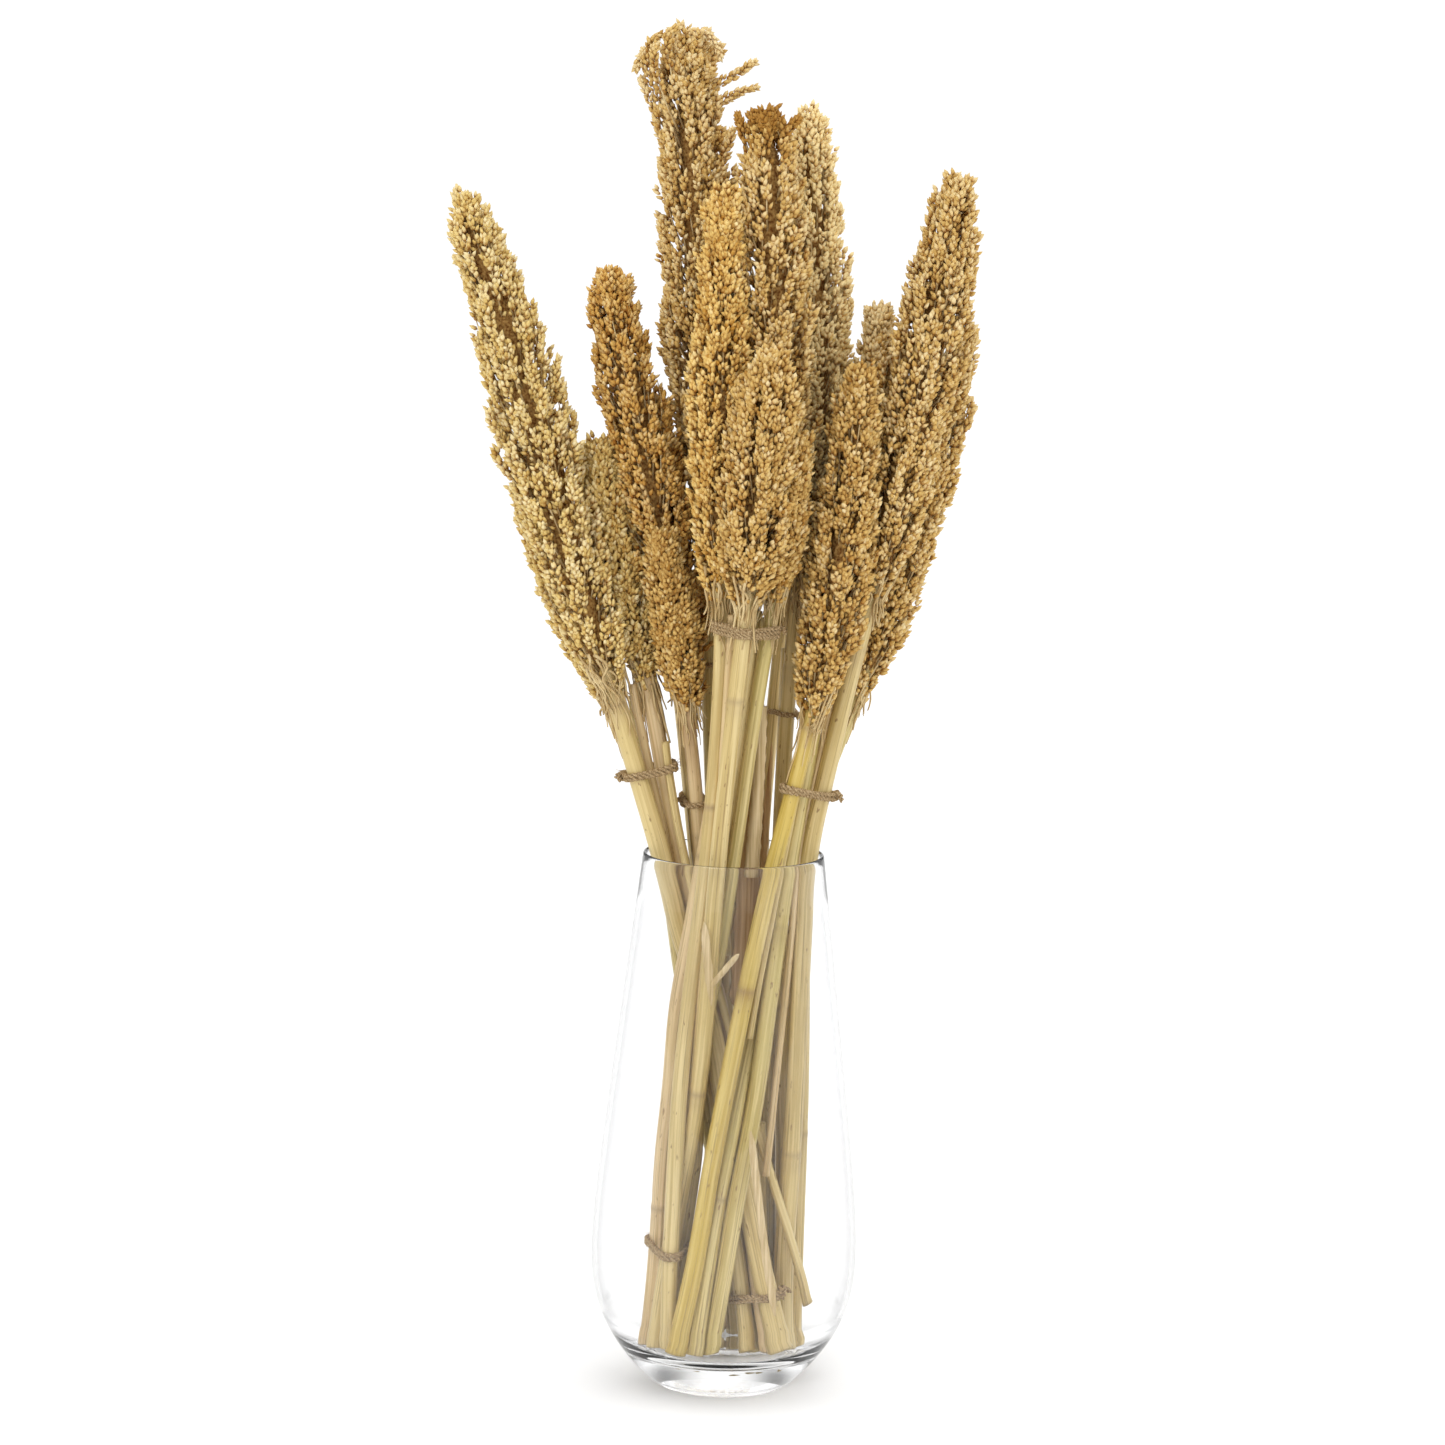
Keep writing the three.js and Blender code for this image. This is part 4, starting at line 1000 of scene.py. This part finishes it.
# %% Grow the heads
grain_total = sum(seed_head(name, seed, sprigs=SPRIGS.get(name, ()), **style)
                  for seed, (name, style) in enumerate(HEAD_STYLES.items()))
print(len(HEAD_STYLES), "heads with", grain_total, "grains")
head_meshes = [piece.data for piece in bpy.data.objects
               if piece.name.split("_")[0] in ("grain", "branches", "chaff")]
triangles = [len(mesh.loops) - 2 * len(mesh.polygons) for mesh in head_meshes]
print("triangles in the largest piece:", max(triangles), "and in all of them:", sum(triangles))

# %% [markdown]
# ## Ties
# Each bundle is held by jute twine, two strands laid round each other. The loop is the line that a
# tight string takes round the stalks: in every direction it touches whichever stalk reaches farthest
# that way. Along that loop the two strands turn round each other, and a small knot closes it.
# %% The loop round a bundle
TWINE_RADIUS = 1.15
TURN_SPACING = 1.9
LOOP_STEPS = 260
TIE_TURNS = {"left_tie_1": 2, "left_tie_2": 2, "front_tie_1": 3, "right_tie_1": 2, "front_tie_2": 2}
KNOT_FACING = {"front_tie_1": 0.15, "right_tie_1": 0.1, "left_tie_1": -2.9, "golden_tie_1": 0.1,
               "inner_left_tie_1": -2.6, "tall_tie_1": 0.2, "left_tie_2": -0.3, "front_tie_2": -0.4}


def loop_round(tie, z):
    """Places (x, y) of the twine round a bundle at height z, and how the bundle leans there. For a
    direction d the loop's point is the centre of the stalk with the greatest c.d + r, plus its radius
    and the twine's radius along d."""
    low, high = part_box(tie)
    bundle = tie.rsplit("_tie_", 1)[0]
    circles, leans = [], []
    for name in STALKS:
        rings = rings_of(name)
        if name.startswith(bundle + "_stalk_") and rings[0][0] < z < rings[0][-1]:
            centre, radius = line_at(rings, z + np.array([-8, 0, 8]) * MM)
            if low[0] <= centre[1, 0] <= high[0] and low[1] <= centre[1, 1] <= high[1]:
                circles.append((*centre[1, :2], radius[1]))
                leans.append((centre[2, :2] - centre[0, :2]) / (16 * MM))
    circles = np.array(circles)
    angle = np.linspace(0, 2 * np.pi, 720, endpoint=False)
    facing = np.stack([np.cos(angle), np.sin(angle)], 1)
    touch = circles[np.argmax(facing @ circles[:, :2].T + circles[:, 2], axis=1)]
    return touch[:, :2] + facing * (touch[:, 2:] + TWINE_RADIUS * MM), np.mean(leans, axis=0)


def even_loop(flat, steps):
    """The same loop with its points an equal way apart."""
    closed = np.concatenate([flat, flat[:1]])
    way = np.append(0, np.cumsum(np.linalg.norm(np.diff(closed, axis=0), axis=1)))
    wanted = np.linspace(0, way[-1], steps, endpoint=False)
    return np.stack([np.interp(wanted, way, closed[:, axis]) for axis in range(2)], 1)


# %% Twisted twine
STRAND_RADIUS = 0.86
STRAND_OFFSET = 0.74
TWIST_LENGTH = 6.2
KNOT_STEPS = 60
TWINE_SIDES = 6
SKEW = (0.2, 0.1, 1)


def twisted(path, loop, seed):
    """Two strands round a path (n, 3): the centre line plus q (cos t A + sin t B), with t growing by a
    full turn each twist length and the second strand half a turn behind."""
    step = np.linalg.norm(np.diff(path, axis=0, append=path[:1] if loop else path[-1:]), axis=1)
    way = np.cumsum(step)
    turns = way[-1] / (TWIST_LENGTH * MM)
    turns = max(round(turns), 1) if loop else turns
    angle = 2 * np.pi * turns * way / way[-1] + seed
    ahead = np.roll(path, -1, 0) - np.roll(path, 1, 0) if loop else np.gradient(path, axis=0)
    across, aside = side_vectors(unit(ahead), (0.05, 0.02, 1.0))
    strands = []
    for half in (0, np.pi):
        turn = (angle + half)[:, None]
        strands.append(path + STRAND_OFFSET * MM * (across * np.cos(turn) + aside * np.sin(turn)))
    return np.stack(strands)


def knot_path(place, right, up, size):
    """An overhand knot: (sin t + 2 sin 2t, cos t - 2 cos 2t, -sin 3t) scaled to the size."""
    t = np.linspace(0, 2 * np.pi, KNOT_STEPS, endpoint=False)[:, None]
    out = np.cross(right, up)
    return place + size * ((np.sin(t) + 2 * np.sin(2 * t)) / 3 * right
                           + (np.cos(t) - 2 * np.cos(2 * t)) / 3 * up - 0.5 * np.sin(3 * t) * out)


# %% The parts of a tie
def wound_loops(name, middle, seed):
    """Each turn of twine round the bundle, one above the other, tipped square to the bundle's lean.
    Returns the meshes and the last turn's path."""
    turns = TIE_TURNS.get(name, 1)
    parts = []
    for turn in range(turns):
        z = middle + (turn - (turns - 1) / 2) * TURN_SPACING * MM
        flat, lean = loop_round(name, z)
        flat = even_loop(flat, LOOP_STEPS)
        wave = 0.35 * MM * np.sin(np.linspace(0, 6 * np.pi, LOOP_STEPS, endpoint=False) + turn)
        path = np.column_stack([flat, z + wave - (flat - flat.mean(0)) @ lean])
        strands = twisted(path, True, seed)
        thick = np.full(strands.shape[:2], STRAND_RADIUS * MM)
        parts.append(tubes(strands, thick, TWINE_SIDES, (0, 0, 1), True)[:2])
    return parts, path


def knot_and_tails(place, outward, rng):
    """A small knot that touches the loop, and a frayed tail to each side of it."""
    up = np.array([0, 0, 1.0])
    right = np.cross(outward, up)
    knot = knot_path(place, right, up, 2.6 * MM)
    parts = [tubes(knot[None], np.full((1, KNOT_STEPS), 0.95 * MM), TWINE_SIDES, SKEW, True)[:2]]
    for side in (-1, 1):
        reach = rng.uniform(5, 8)
        knots = place + np.array([[0, 0, 0], outward * 2 + right * side * 2 + [0, 0, 0.4],
                                  outward * 2.6 + right * side * reach * 0.6 + [0, 0, -1],
                                  outward * 2.6 + right * side * reach + [0, 0, -2.4]]) * MM
        tail = twisted(curve_through(knots, 24), False, side)
        parts.append(tubes(tail, np.full(tail.shape[:2], 0.66 * MM), TWINE_SIDES, SKEW)[:2])
    return parts


def stray_hairs(path, turns, rng):
    """Fine fibres that leave the loop outwards and bend away, p + L (v o + 0.6 v^2 b)."""
    number = 45 * turns
    at = rng.integers(0, len(path), number)
    out = unit(np.column_stack([path[at, :2] - path.mean(0)[:2], rng.normal(0, 8 * MM, number)]))
    bend = unit(out + rng.normal(0, 0.9, (number, 3)))
    share = np.linspace(0, 1, 4)[None, :, None]
    long = rng.uniform(1.2, 3.4, (number, 1, 1)) * MM
    hairs = path[at][:, None] + long * (out[:, None] * share + bend[:, None] * share**2 * 0.6)
    hairs[..., 2] += rng.uniform(-1.2, 1.2, (number, 1)) * MM * turns
    return tubes(hairs, np.full(hairs.shape[:2], 0.07 * MM), 3, SKEW)[:2]


# %% Tie the bundles
def tie(name, seed):
    """The whole tie: loops of twisted twine, and a knot, tails and stray fibres on the last loop."""
    rng = np.random.default_rng(500 + seed)
    low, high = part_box(name)
    parts, path = wound_loops(name, (low[2] + high[2]) / 2, seed)
    facing = KNOT_FACING.get(name, 0.0)
    centre = path.mean(0)
    heading = np.arctan2(path[:, 1] - centre[1], path[:, 0] - centre[0])
    nearest = np.argmin(np.abs(np.angle(np.exp(1j * (heading - facing)))))
    outward = unit(np.array([np.cos(facing), np.sin(facing), 0.0]))
    parts += knot_and_tails(path[nearest] + outward * 0.9 * MM, outward, rng)
    parts.append(stray_hairs(path, TIE_TURNS.get(name, 1), rng))
    points, faces = one_mesh(parts)
    return make_piece("twine_" + name, points, faces, "twine", JUTE, (name,))


TIES = [name for name in NODES if "_tie_" in name]
for seed, name in enumerate(TIES):
    tie(name, seed)
print(len(TIES), "ties")

# %% [markdown]
# ## Dry leaves
# A few leaf blades and a cut sheath are caught behind the front bundle. A leaf is a long folded strip
# that narrows to a torn point, so its section is a thin bent lens carried along the model's line.
# %% Leaf blades
LEAF_POINTS = 16
LEAF_STEPS = 90
LEAF_THICKNESS = 0.28


def leaf(node, seed, width, finish, fold=0.35, pointed=True, below=0):
    """Section point: x = w cos a, y = fold w cos^2 a + thickness sin a, with w shrinking as
    (1 - v)^0.55 towards a pointed tip or staying even to a cut one. below is how far in millimetres
    the blade goes on under the model's, narrowing to its foot."""
    rng = np.random.default_rng(700 + seed)
    rings = rings_of(node)
    low, high = rings[0][0], rings[0][-1]
    heights = np.linspace(low - below * MM, high, LEAF_STEPS)
    path, _ = line_at(rings, heights)
    share = np.linspace(0, 1, LEAF_STEPS)
    half = width * MM * ((1 - share) ** 0.55 if pointed else np.ones(LEAF_STEPS)) + 0.15 * MM
    half *= np.minimum(1, share * 8 + 0.1) if below else 1
    ragged = 1 + 0.05 * np.sin(share * 61 + seed) + rng.normal(0, 0.02, LEAF_STEPS)
    half = half * ragged
    angle = np.linspace(0, 2 * np.pi, LEAF_POINTS, endpoint=False)
    x = half[:, None] * np.cos(angle)
    y = fold * half[:, None] * np.cos(angle) ** 2 + LEAF_THICKNESS * MM * np.sin(angle)
    twist = 0.5 * np.sin(share * 3 + seed)[:, None]
    offset = np.stack([x * np.cos(twist) - y * np.sin(twist), x * np.sin(twist) + y * np.cos(twist)], 2)
    points, faces, _, _ = tubes(path[None], np.zeros((1, LEAF_STEPS, LEAF_POINTS)), LEAF_POINTS)
    ring_points = points[:-2].reshape(LEAF_STEPS, LEAF_POINTS, 3)
    ring_points[..., :2] += offset
    return make_piece("blade_" + node, points, faces, "dry_leaf", finish, (node,))


# %% Torn strips
RIBBON_POINTS = 12
RIBBON_STEPS = 40
RIBBON_THICKNESS = 0.22


def ribbon(name, knots, width, finish, slot="dry_leaf", cup=0.3, torn=0.25, seed=0):
    """A thin cupped strip through a few points in millimetres: x = w cos a across it and
    y = cup w cos^2 a + thickness sin a, with w easing to a point over the torn share of each end."""
    rng = np.random.default_rng(900 + seed)
    path = curve_through(np.array(knots) * MM, RIBBON_STEPS)
    share = np.linspace(0, 1, RIBBON_STEPS)
    ends = np.clip(np.minimum(share, 1 - share) / torn, 0.06, 1) ** 0.6
    half = width / 2 * MM * ends * (1 + rng.normal(0, 0.05, RIBBON_STEPS))
    angle = np.linspace(0, 2 * np.pi, RIBBON_POINTS, endpoint=False)
    across, aside = side_vectors(unit(np.gradient(path, axis=0)))
    x = half[:, None] * np.cos(angle)
    y = cup * half[:, None] * np.cos(angle) ** 2 + RIBBON_THICKNESS * MM * np.sin(angle)
    points, faces, _, _ = tubes(path[None], np.zeros((1, RIBBON_STEPS, RIBBON_POINTS)), RIBBON_POINTS)
    rings = points[:-2].reshape(RIBBON_STEPS, RIBBON_POINTS, 3)
    rings += x[..., None] * across[:, None] + y[..., None] * aside[:, None]
    return make_piece(name, points, faces, slot, finish)


leaf("dry_leaf_1", 1, 9, DRY_LEAF, below=70)
leaf("dry_leaf_2", 2, 4.6, DRY_LEAF, below=90)
leaf("cut_sheath", 3, 4.0, SHEATH, fold=0.6, pointed=False)
ribbon("torn_sheath", ((-15, -40, 268), (-13, -41, 250), (-10, -41, 222)), 4.6, SHEATH, seed=1)
ribbon("splinter", ((-11, -41, 232), (-5, -43, 240), (4, -46, 252)), 3.4, SHEATH, torn=0.1, seed=2)
ribbon("split_straw", ((13, -30, 150), (20, -31, 100), (29, -31, 46)), 4.4, SHEATH, "stalk",
       cup=0.5, torn=0.1, seed=3)
print("three leaves and three torn strips")

# %% [markdown]
# ## Straws without heads
# Cut stalks fill a bunch as well as whole ones, and light that shines between two stalks looks thin
# and poor. Each gap gets a straw as wide as the gap, and three loose straws stand behind the others.
# Their number and places could be drawn at random, but then some would stand inside a thick stalk.
# %% Thin straws between the stalks
FILLED_GAPS = (
    ("front_stalk_1", "front_stalk_2", 235, 436), ("front_stalk_2", "front_stalk_4", 60, 436),
    ("front_stalk_1", "front_stalk_3", 290, 437), ("front_stalk_3", "front_stalk_5", 120, 434),
    ("left_stalk_1", "left_stalk_3", 180, 392), ("left_stalk_2", "left_stalk_3", 240, 384),
    ("right_stalk_2", "right_stalk_4", 200, 396), ("right_stalk_1", "right_stalk_4", 120, 398),
    ("inner_left_stalk_1", "inner_left_stalk_2", 300, 385),
    ("golden_stalk_1", "golden_stalk_3", 200, 425),
)
THIN_SIDES = 12


def bare_straw(name, path, radii, girth, length, shift, finish):
    """A straw with no joints or stains. Its streaks run along a tube of the given girth and length in
    the noise, shifted so that no two straws are streaked alike."""
    points, faces, turn, share = tubes(path[None], radii[None], radii.shape[1])
    along = np.stack([girth * MM * np.cos(turn), girth * MM * np.sin(turn), share * length + shift], 1)
    return make_piece(name, points, faces, "stalk", STRAW[finish], along=along,
                      joint=np.zeros(len(points)), stain=np.zeros(len(points)))


def thin_straw(first, second, low, high, seed):
    """A straw that fills the gap between two stalks: its line is the middle between theirs, and its
    radius the gap between them, kept between 1.1 and 2.2 mm, with a slow wave along it."""
    rng = np.random.default_rng(800 + seed)
    heights = np.linspace(low * MM, high * MM, int((high - low) / 3))
    (one, one_radius), (two, two_radius) = (line_at(rings_of(name), heights) for name in (first, second))
    apart = np.linalg.norm(one - two, axis=1) - one_radius - two_radius
    radius = np.clip(apart / 2 + 0.3 * MM, 1.1 * MM, 2.2 * MM)
    path = (one + two) / 2 + np.array([0, 1, 0]) * 0.8 * MM
    path[:, :2] += 0.5 * MM * np.sin(heights[:, None] * 40 + rng.uniform(0, 6, 2))
    angle = np.linspace(0, 2 * np.pi, THIN_SIDES, endpoint=False)
    oval = 1 + 0.12 * np.cos(2 * angle + rng.uniform(0, 6)) + 0.04 * np.cos(5 * angle)
    finish = ("straw", "pink straw", "green straw")[seed % 3]
    return bare_straw(f"thin_straw_{seed + 1}", path, radius[:, None] * oval, 2, (high - low) * MM,
                      30 + seed, finish)


for seed, gap in enumerate(FILLED_GAPS):
    thin_straw(*gap, seed)
print(len(FILLED_GAPS), "thin straws")

# %% Loose straws behind the others
LOOSE_SIDES = 16
LOOSE_STEPS = 70
LOOSE_STRAWS = (((-12, 8, 24), (-9, 9, 110), (-6, 9, 215)),
                ((25, 8, 24), (21, 9, 88), (18, 9, 146)),
                ((-2, 14, 24), (-4, 13, 130), (-4, 12, 240)))


def loose_straw(knots, number, radius=3.6):
    """A headless straw behind the others, through three points in millimetres."""
    path = curve_through(np.array(knots) * MM, LOOSE_STEPS)
    angle = np.linspace(0, 2 * np.pi, LOOSE_SIDES, endpoint=False)
    girth = radius * MM * (1 + 0.06 * np.cos(2 * angle + number) + 0.03 * np.cos(5 * angle))
    radii = np.broadcast_to(girth, (LOOSE_STEPS, LOOSE_SIDES))
    return bare_straw(f"loose_straw_{number + 1}", path, radii, 4, 0.2, 50 + number, "straw")


for number, knots in enumerate(LOOSE_STRAWS):
    loose_straw(knots, number)
print(len(LOOSE_STRAWS), "loose straws")

# %% [markdown]
# ## Floor and light
# A plain pale floor and soft light from a large lamp and a bright surround show the pieces without
# hard shadows. Clear glass is seen mostly by what it bends and mirrors, so the surround is a ring of
# bright panels with dim gaps between them, which draw part of the grey edges of the vase; the rest of
# that grey is painted shade in the glass finish.
# %% Floor
def floor_finish():
    """Matt white with the faintest cloudiness."""
    material, shader, tree, add = new_finish("pale floor", 0.9, 0.1)
    clouds = noise(add, add("ShaderNodeTexCoord").outputs["Object"], 2, 2)
    tree.links.new(ramp(add, clouds, (0.3, (0.93, 0.93, 0.93)), (0.7, (0.95, 0.95, 0.95))),
                   shader.inputs["Base Color"])
    return material


FLOOR_HALF = 12.0
floor_corners = [(FLOOR_HALF * x, FLOOR_HALF * y, 0) for x, y in ((-1, -1), (1, -1), (1, 1), (-1, 1))]
floor_mesh = bpy.data.meshes.new("floor")
floor_mesh.from_pydata(floor_corners, [], [(0, 1, 2, 3)])
floor_mesh.materials.append(floor_finish())
floor = bpy.data.objects.new("floor", floor_mesh)
bpy.context.scene.collection.objects.link(floor)
print("floor is", 2 * FLOOR_HALF, "m wide")


# %% Lamps
def lamp(name, place, size, watts, aim=(0, 0, 0.35)):
    """A square area lamp at a place, turned to shine at the aim."""
    data = bpy.data.lights.new(name, "AREA")
    data.energy = watts
    data.size = size
    light = bpy.data.objects.new(name, data)
    bpy.context.scene.collection.objects.link(light)
    toward = Matrix.Translation(place).to_translation() - Matrix.Translation(aim).to_translation()
    light.matrix_world = Matrix.Translation(place) @ toward.to_track_quat("Z", "Y").to_matrix().to_4x4()
    return light


lamp("key", (-1.1, -1.9, 1.9), 1.2, 13)
lamp("fill", (1.8, -1.4, 1.1), 1.6, 4)
lamp("rim", (1.7, 1.0, 1.7), 1.4, 7)
print("three lamps")

# %% Surround
PANELS = 8
GAP_SHADE = 0.8
OVERHEAD = 1.55
SURROUND_STRENGTH = 1.06
world = bpy.data.worlds.new("surround")
world.use_nodes = True
studio = world.node_tree
heading = studio.nodes.new("ShaderNodeTexCoord").outputs["Generated"]


def surround_sum(how, first, second=0.0):
    """One sum in the surround's own node tree."""
    node = studio.nodes.new("ShaderNodeMath")
    node.operation = how
    for socket, value in zip(node.inputs, (first, second)):
        if isinstance(value, bpy.types.NodeSocket):
            studio.links.new(value, socket)
        else:
            socket.default_value = value
    return node.outputs[0]


studio.nodes["Background"].inputs["Color"].default_value = (1, 1, 1, 1)
split = studio.nodes.new("ShaderNodeSeparateXYZ")
studio.links.new(heading, split.inputs[0])
turn = surround_sum("ARCTAN2", split.outputs["Y"], split.outputs["X"])
wave = surround_sum("COSINE", surround_sum("MULTIPLY", turn, PANELS))
gap = surround_sum("POWER", surround_sum("MULTIPLY", surround_sum("SUBTRACT", 1.0, wave), 0.5), 1.5)
panels = surround_sum("SUBTRACT", 1.0, surround_sum("MULTIPLY", gap, GAP_SHADE))
high = surround_sum("MULTIPLY", split.outputs["Z"], split.outputs["Z"])
lit = surround_sum("ADD", surround_sum("MULTIPLY", panels, surround_sum("SUBTRACT", 1.0, high)),
                   surround_sum("MULTIPLY", high, OVERHEAD))
seen = studio.nodes.new("ShaderNodeLightPath").outputs["Is Camera Ray"]
strength = surround_sum("MULTIPLY", surround_sum("MAXIMUM", lit, seen), SURROUND_STRENGTH)
studio.links.new(strength, studio.nodes["Background"].inputs["Strength"])
bpy.context.scene.world = world
bpy.context.scene.view_settings.view_transform = "Standard"
print("light is set")
